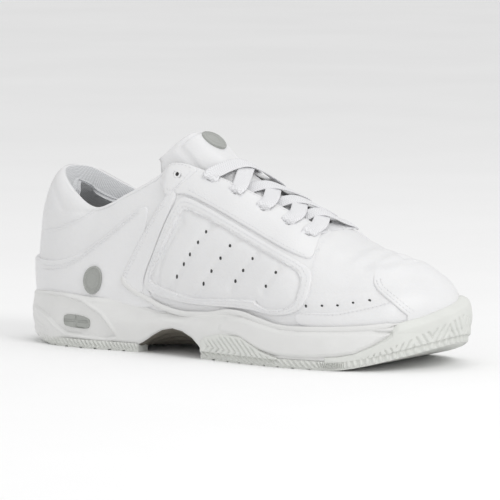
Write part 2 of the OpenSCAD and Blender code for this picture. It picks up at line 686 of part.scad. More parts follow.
outsole_forefoot();
outsole_heel();
side_tread(1);  // side_tread_lateral
side_tread(-1);  // side_tread_medial
toe_guard();
midsole();
heel_cushion();
shank_plate();
heel_stabiliser(1);  // heel_stabiliser_lateral
heel_stabiliser(-1);  // heel_stabiliser_medial
heel_insert(1);  // heel_insert_lateral
heel_insert(-1);  // heel_insert_medial
sidewall(1);  // sidewall_lateral
sidewall(-1);  // sidewall_medial
insole_board();
heel_counter();
toe_puff();
vamp();
toe_cap();
vamp_rand(1);  // vamp_rand_lateral
vamp_rand(-1);  // vamp_rand_medial
quarter(1);  // quarter_lateral
quarter(-1);  // quarter_medial
side_panel(1);  // side_panel_lateral
side_panel(-1);  // side_panel_medial
panel_frame(1);  // panel_frame_lateral
panel_frame(-1);  // panel_frame_medial
eyestay(1);  // eyestay_lateral
eyestay(-1);  // eyestay_medial
eyelet_tab(1);  // eyelet_tab_lateral
eyelet_tab(-1);  // eyelet_tab_medial
saddle_strap(1);  // saddle_strap_lateral
saddle_strap(-1);  // saddle_strap_medial
heel_overlay();
achilles_collar();
heel_badge(1);  // heel_badge_lateral
heel_badge(-1);  // heel_badge_medial
collar_foam();
collar_lining();
vamp_lining();
lace();
lace_aglets();
tongue_cover();
tongue_foam();
tongue_lining();
tongue_top_cover();
tongue_top_foam();
tongue_top_lining();
tongue_badge();
sockliner();
sockliner_fabric();
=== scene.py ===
"""Court shoe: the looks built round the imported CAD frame.

The tables are in millimetres and in the frame's own axes: +X to the toe, +Y to the inner side of
the foot, +Z up. Stations run round the shoe: 0 at the back of the heel, 1 to 11 along the outer
side, 12 at the tip of the toe and 13 to 23 back along the inner side.
"""

import json
import math

import bpy
import numpy as np
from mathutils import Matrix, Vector, geometry


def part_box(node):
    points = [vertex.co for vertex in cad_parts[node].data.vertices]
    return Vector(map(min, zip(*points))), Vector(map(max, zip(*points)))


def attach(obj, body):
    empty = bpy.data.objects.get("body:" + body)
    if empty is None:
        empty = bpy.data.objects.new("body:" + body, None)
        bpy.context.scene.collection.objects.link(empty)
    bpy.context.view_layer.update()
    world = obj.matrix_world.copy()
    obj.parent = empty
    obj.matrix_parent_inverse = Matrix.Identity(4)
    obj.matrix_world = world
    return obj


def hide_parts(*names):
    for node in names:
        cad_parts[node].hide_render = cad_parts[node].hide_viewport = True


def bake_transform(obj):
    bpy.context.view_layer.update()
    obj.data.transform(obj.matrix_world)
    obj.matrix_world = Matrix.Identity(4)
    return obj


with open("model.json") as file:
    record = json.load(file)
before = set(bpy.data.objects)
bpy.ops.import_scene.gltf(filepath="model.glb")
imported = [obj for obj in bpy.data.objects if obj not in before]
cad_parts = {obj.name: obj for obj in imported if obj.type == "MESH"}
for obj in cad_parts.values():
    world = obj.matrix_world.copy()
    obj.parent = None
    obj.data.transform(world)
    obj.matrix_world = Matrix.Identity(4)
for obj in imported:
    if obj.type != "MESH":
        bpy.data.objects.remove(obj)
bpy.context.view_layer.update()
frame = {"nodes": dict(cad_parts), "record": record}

MM = 0.001
TURN = 24  # stations once round the shoe
TOE = 12
FEATHER_Z = 24.0  # the feather line, where the upper meets the sole
LOW_HANDLE = 0.45  # share of its height over which the upper rises straight off the sole
BED_Z = 21.5  # top of the midsole under the insole
TREAD_Z = 5.2  # top of the tread at its edge
PLANE_MM = (26, 68)  # rough millimetres in a station, and in the full height of the upper
SIDES = {"lateral": 1, "medial": -1}


# ---------- camera, lights and floor ----------

AZIMUTH, ELEVATION = math.radians(34), math.radians(5.6)
DISTANCE, LENS = 2.8, 325
MIDDLE = Vector((0, 0, 0.06))


def place_camera():
    back = Vector((math.sin(AZIMUTH) * math.cos(ELEVATION), -math.cos(AZIMUTH) * math.cos(ELEVATION),
                   math.sin(ELEVATION)))
    right = Vector((math.cos(AZIMUTH), math.sin(AZIMUTH), 0))
    aim = MIDDLE + right * 0.0024 + back.cross(right) * 0.0034
    data = bpy.data.cameras.new("camera")
    data.lens = LENS
    camera = bpy.data.objects.new("camera", data)
    bpy.context.collection.objects.link(camera)
    camera.location = aim + back * DISTANCE
    camera.rotation_euler = back.to_track_quat("Z", "Y").to_euler()
    bpy.context.scene.camera = camera


def area_light(name, position, size, power):
    data = bpy.data.lights.new(name, "AREA")
    data.shape = "RECTANGLE"
    data.size, data.size_y = size
    data.energy = power
    light = bpy.data.objects.new(name, data)
    light.location = position
    light.rotation_euler = (Vector(position) - MIDDLE).to_track_quat("Z", "Y").to_euler()
    bpy.context.collection.objects.link(light)

def light_studio():
    area_light("key", (1.4, -0.4, 1.2), (0.7, 0.7), 8.5)
    area_light("top", (0.1, 0.3, 1.9), (1.0, 1.0), 3.5)
    area_light("front", (0.3, -1.9, 0.7), (1.2, 0.9), 1.5)
    world = bpy.data.worlds.new("studio")
    world.use_nodes = True
    background = world.node_tree.nodes["Background"]
    background.inputs["Color"].default_value = (1, 1, 1, 1)
    background.inputs["Strength"].default_value = 0.80
    bpy.context.scene.world = world
    bpy.context.scene.view_settings.view_transform = "Standard"


# ---------- materials ----------

MATERIALS = {}


def new_material(name, colour, roughness, **sockets):
    material = bpy.data.materials.new(name)
    material.use_nodes = True
    shader = material.node_tree.nodes["Principled BSDF"]
    shader.inputs["Base Color"].default_value = (*colour, 1)
    shader.inputs["Roughness"].default_value = roughness
    for socket, value in sockets.items():
        shader.inputs[socket.replace("_", " ")].default_value = value
    MATERIALS[name] = material
    return Nodes(material.node_tree, shader)


class Nodes:
    """Short way to add and join a material's nodes."""

    def __init__(self, tree, shader):
        self.tree, self.shader = tree, shader
        self.coords = self.add("ShaderNodeTexCoord")

    def add(self, kind, **values):
        node = self.tree.nodes.new(kind)
        for key, value in values.items():
            if hasattr(node, key):
                setattr(node, key, value)
            else:
                node.inputs[key.replace("_", " ")].default_value = value
        return node

    def join(self, out, into):
        self.tree.links.new(out, into)

    def noise(self, scale, detail=4.0):
        node = self.add("ShaderNodeTexNoise", Scale=scale, Detail=detail, Roughness=0.55)
        self.join(self.coords.outputs["Object"], node.inputs["Vector"])
        return node.outputs["Fac"]

    def cells(self, scale):
        node = self.add("ShaderNodeTexVoronoi", feature="SMOOTH_F1", Scale=scale)
        self.join(self.coords.outputs["Object"], node.inputs["Vector"])
        return node.outputs["Distance"]

    def shade(self, value, low, high, colour_low, colour_high):
        """Base colour that changes from one to the other as the value goes from low to high."""
        node = self.add("ShaderNodeValToRGB")
        ends = node.color_ramp.elements
        for end, position, colour in zip(ends, (low, high), (colour_low, colour_high)):
            end.position = position
            end.color = (*colour, 1)
        self.join(value, node.inputs["Fac"])
        self.join(node.outputs["Color"], self.shader.inputs["Base Color"])

    def gloss(self, value, low, high):
        node = self.add("ShaderNodeMapRange")
        node.inputs["To Min"].default_value = low
        node.inputs["To Max"].default_value = high
        self.join(value, node.inputs["Value"])
        self.join(node.outputs["Result"], self.shader.inputs["Roughness"])

    def math(self, operation, a, b=0):
        node = self.add("ShaderNodeMath", operation=operation)
        for index, value in enumerate((a, b)):
            if isinstance(value, (int, float)):
                node.inputs[index].default_value = value
            else:
                self.join(value, node.inputs[index])
        return node.outputs["Value"]

    def bumps(self, *layers):
        """Each layer is (height, strength, distance in metres); they stack in order."""
        normal = None
        for height, strength, distance in layers:
            node = self.add("ShaderNodeBump", Strength=strength, Distance=distance)
            self.join(height, node.inputs["Height"])
            if normal:
                self.join(normal, node.inputs["Normal"])
            normal = node.outputs["Normal"]
        self.join(normal, self.shader.inputs["Normal"])


def darker(colour, share):
    return tuple(c * share for c in colour)


def leather(name, colour, roughness=0.42, grain=1.0):
    """Coated full-grain leather: pebble cells, fine pores, soft colour and gloss variation."""
    n = new_material(name, colour, roughness, Coat_Weight=0.08, Coat_Roughness=0.35, Subsurface_Weight=0.04,
                     Subsurface_Radius=(0.002, 0.0018, 0.0015))
    hand = n.noise(70, 3)
    n.shade(n.noise(28), 0.35, 0.7, darker(colour, 0.955), colour)
    n.gloss(hand, roughness - 0.07, roughness + 0.09)
    n.bumps((hand, 0.10 * grain, 0.001), (n.cells(900), 0.30 * grain, 0.00035),
            (n.noise(2600, 3), 0.10 * grain, 0.0002))


def moulded(name, colour, roughness=0.5, speckle=0.05, texture=1500, strength=0.12):
    """Moulded rubber, foam or plastic with a fine matte skin and faint flow marks."""
    n = new_material(name, colour, roughness)
    fine, flow = n.noise(texture, 3), n.noise(45)
    n.shade(flow, 0.3, 0.7, darker(colour, 1 - speckle), colour)
    n.gloss(fine, roughness - 0.08, roughness + 0.08)
    n.bumps((flow, 0.06, 0.001), (fine, strength, 0.00025))


def knit(name, colour):
    """Knitted or woven textile: crossed ribs of yarn with a soft fuzz."""
    n = new_material(name, colour, 0.85, Sheen_Weight=0.35, Sheen_Roughness=0.5)
    pitch = 0.9
    waves = []
    for axis in ("X", "Y", "Z"):
        wave = n.add("ShaderNodeTexWave", bands_direction=axis, Scale=314 / pitch, Distortion=0.6,
                     Detail_Scale=2)
        n.join(n.coords.outputs["Object"], wave.inputs["Vector"])
        waves.append(wave.outputs["Fac"])
    weave = n.math("ADD", n.math("MULTIPLY", waves[0], waves[2]), n.math("MULTIPLY", waves[1], 0.5))
    # Painted shade: the weave's troughs between yarns are coloured darker.
    n.shade(weave, 0.1, 0.9, darker(colour, 0.72), colour)
    n.bumps((weave, 0.5, 0.0003), (n.noise(1800), 0.25, 0.0002))


def braid(name, colour):
    """Flat woven lace: a herringbone of fine yarns laid out on the strip's own UV map."""
    n = new_material(name, colour, 0.7, Sheen_Weight=0.3, Sheen_Roughness=0.4)
    split = n.add("ShaderNodeSeparateXYZ")
    n.join(n.coords.outputs["UV"], split.inputs["Vector"])
    row = n.math("FRACT", n.math("MULTIPLY", split.outputs["Y"], 3.0))
    across = n.math("ABSOLUTE", n.math("SUBTRACT", row, 0.5))
    yarn = n.math("FRACT", n.math("ADD", split.outputs["X"], n.math("MULTIPLY", across, 1.6)))
    round_yarn = n.math("SINE", n.math("MULTIPLY", yarn, math.pi))
    # Painted shade: the lace colour darkens towards the gaps between yarns.
    n.shade(round_yarn, 0.05, 0.75, darker(colour, 0.85), colour)
    n.bumps((round_yarn, 0.55, 0.0004), (n.noise(2500, 3), 0.2, 0.0002))


leather("leather_base", (0.77, 0.77, 0.775))
leather("leather_overlay", (0.78, 0.78, 0.785), 0.38, 0.8)
moulded("sole_rubber", (0.71, 0.72, 0.69), 0.55, 0.06, 1300, 0.16)
moulded("midsole_foam", (0.75, 0.75, 0.74), 0.48)
moulded("stabiliser_plastic", (0.74, 0.74, 0.73), 0.42)
moulded("shank_plastic", (0.125, 0.112, 0.090), 0.42, 0.2, 900, 0.2)
moulded("grey_trim", (0.37, 0.38, 0.36), 0.38, 0.1, 1100, 0.2)
moulded("cushion_gel", (0.35, 0.5, 0.62), 0.3)
moulded("stiff_board", (0.55, 0.46, 0.33), 0.8, 0.15, 700, 0.4)
moulded("padding_foam", (0.74, 0.69, 0.42), 0.9, 0.12, 900, 0.6)
knit("lining_fabric", (0.69, 0.70, 0.715))
braid("lace_fabric", (0.80, 0.80, 0.815))
moulded("aglet_plastic", (0.8, 0.82, 0.85), 0.2)
moulded("thread", (0.76, 0.76, 0.77), 0.6, 0.04, 3000, 0.3)
# Near-black painted shade for the inside of holes.
moulded("hole_painted_shade", (0.05, 0.05, 0.05), 0.9, 0.1, 1500, 0.3)


# ---------- the shoe's surfaces ----------

# Feather line and top line once round the shoe, and for each station of the outer side how far the
# upper swells outward low down and near its top, and how far below the top line it does so.
FEATHER = [(-148, 0), (-141, -22), (-121, -35), (-96, -39), (-72, -38), (-50, -38), (-30, -40), (0, -44),
           (35, -50), (68, -53), (100, -49), (130, -34), (149, 4),
           (131, 36), (100, 49), (68, 50), (35, 43), (0, 35), (-30, 31), (-50, 32), (-72, 35),
           (-96, 36), (-121, 33), (-141, 21)]
TOP_LINE = [(-134, 0, 111), (-127, -17, 108), (-110, -27, 96), (-91, -31, 88), (-68, -31, 98),
            (-48, -28, 109), (-34, -25, 118), (-8, -19, 111), (25, -14, 98), (58, -9, 84), (85, 2, 72),
            (106, 4, 66), (118, 4, 63),
            (106, 4, 66), (85, 2, 72), (58, 11, 84), (25, 16, 98), (-8, 20, 111), (-34, 25, 117),
            (-48, 27, 109), (-68, 30, 99), (-91, 30, 91), (-110, 26, 98), (-127, 17, 108)]
SWELL_LOW = [7.5, 6, 4, 3, 2, 3, 3, 3, 3, 3, 3, 4, 5]
SWELL_TOP = [8.5, 10, 9, 6, 5, 6, 8, 15, 22, 30, 30, 24, 17]
DROP_TOP = [3, 4, 6, 7, 8, 9, 9, 9, 8, 5, 2, 1, 1]


def there_and_back(half):
    """Column of values for all stations from those of the outer side."""
    return np.array(half + half[-2:0:-1], float)[:, None]


FEATHER = np.array(FEATHER, float)
TOP_LINE = np.array(TOP_LINE, float)
SWELL_LOW, SWELL_TOP, DROP_TOP = map(there_and_back, (SWELL_LOW, SWELL_TOP, DROP_TOP))


def cubic(a, b, c, d, f):
    """Smooth curve from b to c, with a and d as the points before and after them."""
    return b + 0.5 * f * ((c - a) + f * ((2 * a - 5 * b + 4 * c - d) + f * (3 * (b - c) + d - a)))


def smooth_loop(table, s):
    """Smooth closed curve through the rows of a table."""
    n = len(table)
    v = np.mod(s, n)
    i = np.floor(v).astype(int)
    return cubic(*(table[(i + k) % n] for k in (-1, 0, 1, 2)), (v - i)[..., None])


def smooth_open(table, v):
    """Smooth open curve through the rows of a table."""
    table = np.asarray(table, float)
    n = len(table) - 1
    v = np.clip(v, 0, n)
    i = np.minimum(np.floor(v).astype(int), n - 1)
    padded = np.vstack([2 * table[0] - table[1], table, 2 * table[-1] - table[-2]])
    return cubic(*(padded[i + k] for k in range(4)), (v - i)[..., None])


def unit(v):
    return v / np.maximum(np.linalg.norm(v, axis=-1, keepdims=True), 1e-9)


def clamp(v):
    return np.clip(v, 0, 1)


def ease(v):
    c = clamp(v)
    return c * c * (3 - 2 * c)


def bell(v, width):
    """1 where v is 0, and fading out over the width either side."""
    return np.exp(-(v / width) ** 2)


def mix(a, b, f):
    return a + (b - a) * f


def on_side(side, s):
    return s if side > 0 else TURN - s


def outer_station(s):
    m = np.mod(s, TURN)
    return np.where(m > TOE, TURN - m, m)


def outward(s):
    d = smooth_loop(FEATHER, s + 0.02) - smooth_loop(FEATHER, s - 0.02)
    return unit(np.stack([d[..., 1], -d[..., 0], np.zeros_like(d[..., 0])], -1))


def skin(s, t):
    """Point on the upper: t is 0 at the feather line and 1 at the top line."""
    s, t = np.broadcast_arrays(np.asarray(s, float), np.asarray(t, float))
    foot = smooth_loop(FEATHER, s)
    p0 = np.concatenate([foot, np.full(foot.shape[:-1] + (1,), FEATHER_Z)], -1)
    p3 = smooth_loop(TOP_LINE, s)
    out = outward(s)
    lift = np.zeros_like(p0)
    lift[..., 2] = LOW_HANDLE * (p3[..., 2] - FEATHER_Z)
    p1 = p0 + out * smooth_loop(SWELL_LOW, s) + lift
    p2 = p3 + out * smooth_loop(SWELL_TOP, s)
    p2[..., 2] -= smooth_loop(DROP_TOP, s)[..., 0]
    t = t[..., None]
    r = 1 - t
    return r ** 3 * p0 + 3 * r * r * t * p1 + 3 * r * t * t * p2 + t ** 3 * p3


def skin_normal(s, t):
    v = np.clip(t, 0.01, 0.98)
    along = skin(s + 0.01, v) - skin(s - 0.01, v)
    up = skin(s, v + 0.01) - skin(s, v - 0.01)
    return unit(np.cross(along, up))


def upper(s, t, h):
    """Point h off the upper, outward when h is positive."""
    s, t, h = np.broadcast_arrays(*(np.asarray(v, float) for v in (s, t, h)))
    return skin(s, t) + h[..., None] * skin_normal(s, t)


TOE_SPRING, TOE_RISE_START, TOE_RISE_RUN = 15, 95, 55
HEEL_BEVEL, BEVEL_START, BEVEL_RUN = 7, -117, 31


def floor_rise(x):
    """Rise of the tread off the floor, at the toe and at the heel's bevel."""
    toe = TOE_SPRING * np.clip((x - TOE_RISE_START) / TOE_RISE_RUN, 0, None) ** 1.6
    heel = HEEL_BEVEL * np.clip((BEVEL_START - x) / BEVEL_RUN, 0, None) ** 2
    return toe + heel


def rise_at(s):
    return floor_rise(smooth_loop(FEATHER, np.asarray(s, float))[..., 0])


def climb(s):
    """Height over which a straight rise off the feather line would meet the top line's level."""
    return 3 * LOW_HANDLE * (smooth_loop(TOP_LINE, s)[..., 2] - FEATHER_Z)


def wall(s, z, o):
    """Point on the shoe's side at height z, o outside the feather line or the upper."""
    s, z, o = np.broadcast_arrays(*(np.asarray(v, float) for v in (s, z, o)))
    t = clamp((z - FEATHER_Z) / climb(s))
    base = skin(s, t)
    base[..., 2] += np.minimum(z - FEATHER_Z, 0)
    direction = mix(outward(s), skin_normal(s, t), ease((z - 21) / 7)[..., None])
    return base + o[..., None] * direction


def distance_to(points, line, closed=True):
    """Distance from each point to a line of points, all in the plane."""
    points = np.asarray(points, float)
    flat = points.reshape(-1, 2)
    a = np.asarray(line, float)
    b = np.roll(a, -1, 0)
    if not closed:
        a, b = a[:-1], a[1:]
    best = np.empty(len(flat))
    batch = 4000
    for start in range(0, len(flat), batch):
        p = flat[start:start + batch, None]
        d = b - a
        f = clamp(((p - a) * d).sum(-1) / np.maximum((d * d).sum(-1), 1e-12))
        best[start:start + batch] = np.sqrt((((a + f[..., None] * d) - p) ** 2).sum(-1)).min(1)
    return best.reshape(points.shape[:-1])


def inside(points, polygon):
    a = np.asarray(polygon, float)
    b = np.roll(a, -1, 0)
    hits = np.zeros(len(points), int)
    for (x0, y0), (x1, y1) in zip(a, b):
        crosses = (y0 > points[:, 1]) != (y1 > points[:, 1])
        if y0 != y1:
            hits += crosses & (points[:, 0] < (x1 - x0) * (points[:, 1] - y0) / (y1 - y0) + x0)
    return hits % 2 == 1


def signed_distance(points, polygon):
    """Distance to a closed outline, positive inside it."""
    d = distance_to(points, polygon)
    return np.where(inside(points.reshape(-1, 2), polygon).reshape(d.shape), d, -d)


def rounded(points, passes=2):
    """Closed outline with its corners cut round."""
    p = np.asarray(points, float)
    for _ in range(passes):
        q = np.roll(p, -1, 0)
        p = np.stack([0.75 * p + 0.25 * q, 0.25 * p + 0.75 * q], 1).reshape(-1, 2)
    return p


def run_length(points):
    """Length along a line of points up to each of them."""
    return np.concatenate([[0], np.cumsum(np.linalg.norm(np.diff(points, axis=0), axis=1))])


def at_run(at, run, values):
    """Row of a table of values at a given length along its line."""
    return np.stack([np.interp(at, run, values[:, k]) for k in range(values.shape[1])], -1)


def resampled(points, step, scale):
    """Closed outline again, with points about one step apart."""
    p = np.asarray(points, float)
    p = np.vstack([p, p[:1]])
    run = run_length(p * scale)
    count = max(3, int(round(run[-1] / step)))
    return at_run(np.linspace(0, run[-1], count + 1), run, p)[:-1]


def angles(count):
    return np.linspace(0, 2 * math.pi, count, endpoint=False)


def fade_ends(count, reach, low=0):
    """Column of shares that rise to 1 over some steps from either end."""
    i = np.arange(count)
    return np.clip(np.minimum(i, count - 1 - i) / reach, low, 1)[:, None]


def soft_noise(points, wavelength, seed):
    """Smooth repeatable waviness between about -1 and 1."""
    rng = np.random.default_rng(seed)
    waves = 7
    total = 0
    for _ in range(waves):
        direction = unit(rng.normal(size=3))
        total = total + np.sin(points @ direction * (2 * math.pi / wavelength) * rng.uniform(0.6, 1.5)
                               + rng.uniform(0, 6.28))
    return total / (waves / 2)


# ---------- relief that all layers of the upper share ----------

# Folds across the toe from one (station, height) to another, with their depth.
CREASES = [((10.25, 1.0), (9.95, 0.70), 0.45), ((10.8, 1.0), (10.35, 0.66), 0.65),
           ((11.5, 1.0), (10.7, 0.72), 0.75), ((11.9, 0.93), (11.2, 0.80), 0.45)]
COLLAR_FOLD = [(1.0, 0.80), (2.0, 0.70), (2.7, 0.86)]


def plane(s, t):
    """Rough millimetres along and up the side, for distances between nearby points."""
    return np.stack([np.asarray(s, float) * PLANE_MM[0], np.asarray(t, float) * PLANE_MM[1]], -1)


def plane_distance(s, t, line, closed=True):
    """Distance in the plane from (s, t) to a line or outline of such pairs."""
    return distance_to(plane(s, t), plane(*np.array(line).T), closed)


def relief(s, t):
    """Softness of the leather: folds across the toe, a plump collar and gentle waviness."""
    s, t = np.broadcast_arrays(np.asarray(s, float), np.asarray(t, float))
    side_s = outer_station(s)
    total = np.zeros(s.shape)
    for start, end, depth in CREASES:
        d = plane_distance(side_s, t, [start, end], False)
        total += depth * (0.5 * bell(d - 6.5, 4.5) - 0.9 * bell(d, 3.2))
    plump = np.sin(math.pi * clamp((t - 0.42) / 0.62)) * ease((3.1 - side_s) / 0.8)
    total = total + 1.1 * plump * ease((side_s - 0.2) / 2)
    total -= 0.7 * bell(plane_distance(side_s, t, COLLAR_FOLD, False), 1.8)
    calm = ease((1 - t) / 0.08) * ease(t / 0.08)
    return total + calm * 0.28 * soft_noise(skin(s, t), 34, 3)


# ---------- meshes ----------

def make_piece(name, points, faces, material, body="shoe", uv=None, sharp=50, slot=True, stands_for=()):
    """A piece from points in millimetres, in place of the CAD nodes that it stands for."""
    mesh = bpy.data.meshes.new(name)
    mesh.from_pydata((np.asarray(points) * MM).tolist(), [], [list(map(int, f)) for f in faces])
    mesh.update()
    if uv is not None:
        layer = mesh.uv_layers.new(name="strip")
        loops = np.empty(len(mesh.loops), int)
        mesh.loops.foreach_get("vertex_index", loops)
        layer.data.foreach_set("uv", np.asarray(uv)[loops].ravel())
    mesh.polygons.foreach_set("use_smooth", [True] * len(mesh.polygons))
    mesh.set_sharp_from_angle(angle=math.radians(sharp))
    mesh.materials.append(MATERIALS[material])
    piece = bpy.data.objects.new(name, mesh)
    bpy.context.collection.objects.link(piece)
    if body:
        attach(piece, body)
    if stands_for:
        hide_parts(*stands_for)
    return piece


def grid_faces(rows, cols, start=0, loop_rows=False, loop_cols=False, flip=False):
    """Quads between the points of a grid; either way round it can be a loop."""
    i, j = np.meshgrid(np.arange(rows - (not loop_rows)), np.arange(cols - (not loop_cols)), indexing="ij")
    i, j = i.ravel(), j.ravel()
    k, m = (i + 1) % rows, (j + 1) % cols
    faces = np.stack([i * cols + j, k * cols + j, k * cols + m, i * cols + m], 1) + start
    return faces[:, ::-1] if flip else faces


def volume(points, faces):
    tri = np.concatenate([faces[:, [0, k, k + 1]] for k in range(1, faces.shape[1] - 1)])
    return (points[tri[:, 0]] * np.cross(points[tri[:, 1]], points[tri[:, 2]])).sum()


def facing_out(faces, measure):
    """The faces, turned over when the measure of how far they face outward is negative."""
    return [f[::-1] for f in faces] if measure < 0 else faces


def plate(name, outer, inner, material, **more):
    """Closed plate between two grids of points of the same shape (rows, cols, 3)."""
    rows, cols = outer.shape[:2]
    size = rows * cols
    points = np.concatenate([outer.reshape(-1, 3), inner.reshape(-1, 3)])
    faces = [grid_faces(rows, cols), grid_faces(rows, cols, size, flip=True)]
    ij = np.arange(size).reshape(rows, cols)
    for e in (ij[:, 0][::-1], ij[:, -1], ij[0, :], ij[-1, :][::-1]):
        a, b = e[:-1], e[1:]
        faces.append(np.stack([a, a + size, b + size, b], 1)[:, ::-1])
    faces = np.concatenate(faces)
    return make_piece(name, points, facing_out(faces, volume(points, faces)), material, **more)


def ring_solid(name, rings, material, **more):
    """Solid through rings of points, closed from side to side at its first and last ring."""
    count = len(rings[0])
    points = np.concatenate(rings)
    quads = grid_faces(len(rings), count, 0, False, True, True)
    cap = []
    for i in range(count // 2):
        cap.append(tuple(dict.fromkeys([i, (count - i) % count, (count - i - 1) % count, i + 1])))
    last = len(points) - count
    faces = [tuple(f) for f in quads] + cap + [tuple(i + last for i in f[::-1]) for f in cap]
    return make_piece(name, points, facing_out(faces, volume(points, quads)), material, **more)


def edge_curve(x):
    """Rounded edge: share of the full height at x bevel widths from the cut."""
    c = clamp(x)
    return 0.25 + 0.75 * np.sqrt(1 - (1 - c) ** 2)


RIM_STEP = 1.3  # distance between the points of a cut edge
HOLE_BEVEL = 0.3


def flat_mesh(rim, hole_rims, bevel, spacing):
    """Points and triangles that fill a rim round its holes, with rows of points along the bevel."""
    tangent = unit(np.roll(rim, -1, 0) - np.roll(rim, 1, 0))
    inward = np.stack([-tangent[:, 1], tangent[:, 0]], 1)
    extra = []
    for share in (0.25, 0.6, 1.0):
        ring = rim + inward * bevel * share
        extra.append(ring[distance_to(ring, rim) > bevel * share * 0.9])
    (x0, y0), (x1, y1) = rim.min(0), rim.max(0)
    xs, ys = np.arange(x0, x1, spacing), np.arange(y0, y1, spacing * 0.87)
    field = np.array([(x + (k % 2) * spacing / 2, y) for k, y in enumerate(ys) for x in xs])
    extra.append(field[signed_distance(field, rim) > bevel + 0.45 * spacing])
    extra = np.concatenate(extra)
    extra = extra[signed_distance(extra, rim) > 0.1 * bevel]
    for h in hole_rims:
        extra = extra[(distance_to(extra, h) > 0.35) & ~inside(extra, h)]
    edges, start = [], 0
    for loop in [rim] + hole_rims:
        n = len(loop)
        edges += [(start + k, start + (k + 1) % n) for k in range(n)]
        start += n
    points = np.concatenate([rim] + hole_rims + [extra])
    result = geometry.delaunay_2d_cdt([Vector(p) for p in points], edges, [], 0, 1e-5)
    flat, tris = np.array([tuple(v) for v in result[0]]), np.array(result[2])
    middles = flat[tris].mean(1)
    keep = inside(middles, rim)
    for h in hole_rims:
        keep &= ~inside(middles, h)
    used, tris = np.unique(tris[keep], return_inverse=True)
    return flat[used], tris.reshape(-1, 3)


def cut_sheet(name, outline, high, low, material, side=1, bevel=0.8, holes=(), spacing=2.0, place=upper,
              soft=relief, **more):
    """Leather cut to an outline in (station, height), laid on the upper, with rounded edges and holes.

    high is a height or a function of (s, t); holes are outlines of the same kind.
    """
    outline = np.asarray(outline, float)
    centre = outline.mean(0)
    gap = 0.05
    scale = np.array([np.linalg.norm(place(*(centre + step), 0) - place(*(centre - step), 0))
                      for step in ((gap, 0), (0, gap))]) / (2 * gap)
    rim = resampled(outline, RIM_STEP, scale) * scale
    area = 0.5 * (rim[:, 0] * np.roll(rim[:, 1], -1) - np.roll(rim[:, 0], -1) * rim[:, 1]).sum()
    rim = rim[::-1] if area < 0 else rim
    hole_rims = [np.asarray(h, float) * scale for h in holes]
    flat, tris = flat_mesh(rim, hole_rims, bevel, spacing)
    lift = edge_curve(distance_to(flat, rim) / bevel)
    for h in hole_rims:
        lift = np.minimum(lift, edge_curve(distance_to(flat, h) / HOLE_BEVEL))
    s, t = (flat / scale).T
    top = high(s, t) if callable(high) else high
    s = on_side(side, s)
    base = soft(s, t) + low
    over, under = place(s, t, base + (top - low) * lift), place(s, t, base)
    size = len(flat)
    pairs = np.concatenate([tris[:, [0, 1]], tris[:, [1, 2]], tris[:, [2, 0]]])
    keys = {tuple(p) for p in pairs}
    rim_edges = np.array([p for p in keys if (p[1], p[0]) not in keys])
    a, b = rim_edges[:, 0], rim_edges[:, 1]
    walls = np.stack([b, a, a + size, b + size], 1)
    points = np.concatenate([over, under])
    measure = volume(points, tris) - volume(points, tris + size)
    faces = [tuple(f) for f in tris] + [tuple(f[::-1] + size) for f in tris] + [tuple(f) for f in walls]
    return make_piece(name, points, facing_out(faces, measure), material, **more)


def circle(centre, radius, sides=12, scale=PLANE_MM):
    a = angles(sides)
    return np.stack([centre[0] + radius * np.cos(a) / scale[0], centre[1] + radius * np.sin(a) / scale[1]], 1)


def swept(name, centres, sides_dir, normals, section, material, closed=False, uv_step=None, **more):
    """Solid swept along centres; section is (across, up) in millimetres."""
    section = np.asarray(section, float)
    n, m = len(centres), len(section)
    points = (centres[:, None] + sides_dir[:, None] * section[None, :, 0, None]
              + normals[:, None] * section[None, :, 1, None]).reshape(-1, 3)
    quads = grid_faces(n, m, 0, closed, True)
    faces = [tuple(f) for f in quads]
    if not closed:
        faces += [tuple(range(m)), tuple(range(n * m - 1, (n - 1) * m - 1, -1))]
    uv = None
    if uv_step:
        across = (section[:, 0] - section[:, 0].min()) / np.ptp(section[:, 0])
        uv = np.stack([np.repeat(run_length(centres) / uv_step, m), np.tile(across, n)], 1)
    return make_piece(name, points, facing_out(faces, volume(points, quads)), material, uv=uv, **more)


def stitches(name, rows):
    """Rows of thread: each row is (points, normals) along a seam, and each stitch a small bead."""
    pitch, length, width = 2.5, 1.8, 0.5
    rings, around = 5, 6
    u, a = np.linspace(-1, 1, rings), angles(around)
    fat = np.sqrt(clamp(1.06 - u ** 2))[:, None]
    shape = np.stack([np.repeat(u * length / 2, around), (fat * np.cos(a)).ravel() * width / 2,
                      (fat * np.sin(a)).ravel() * width / 2.4], 1)
    faces_one = [tuple(f) for f in grid_faces(rings, around, 0, False, True)]
    faces_one += [tuple(range(around))[::-1], tuple(range((rings - 1) * around, rings * around))]
    points, faces = [], []
    for line, normals in rows:
        run = run_length(line)
        for at in np.arange(pitch / 2, run[-1], pitch):
            normal = unit(at_run(at, run, normals))
            along = unit(at_run(at + 0.4, run, line) - at_run(at - 0.4, run, line))
            across = unit(np.cross(normal, along))
            start = len(points) * len(shape)
            points.append(at_run(at, run, line) + shape[:, :1] * along + shape[:, 1:2] * across
                          + shape[:, 2:] * normal)
            faces += [tuple(i + start for i in f) for f in faces_one]
    make_piece(name, np.concatenate(points), faces, "thread", slot=False, sharp=80)


def on_upper(line, h, side):
    """Points h off the relief of the upper, and their normals, from rows of (station, height)."""
    s, t = on_side(side, line[:, 0]), line[:, 1]
    return upper(s, t, relief(s, t) + h), skin_normal(s, t)


def seam_on_upper(path, h, side):
    """A seam's points and normals on a smooth line through (station, height) pairs."""
    return on_upper(smooth_open(path, np.linspace(0, len(path) - 1, 60)), h, side)


def parallel(path, offset):
    """The same path moved sideways by an offset in millimetres."""
    p = np.asarray(path, float) * PLANE_MM
    d = np.gradient(p, axis=0)
    normal = unit(np.stack([-d[:, 1], d[:, 0]], 1))
    return (p + normal * offset) / PLANE_MM


# ---------- sole ----------

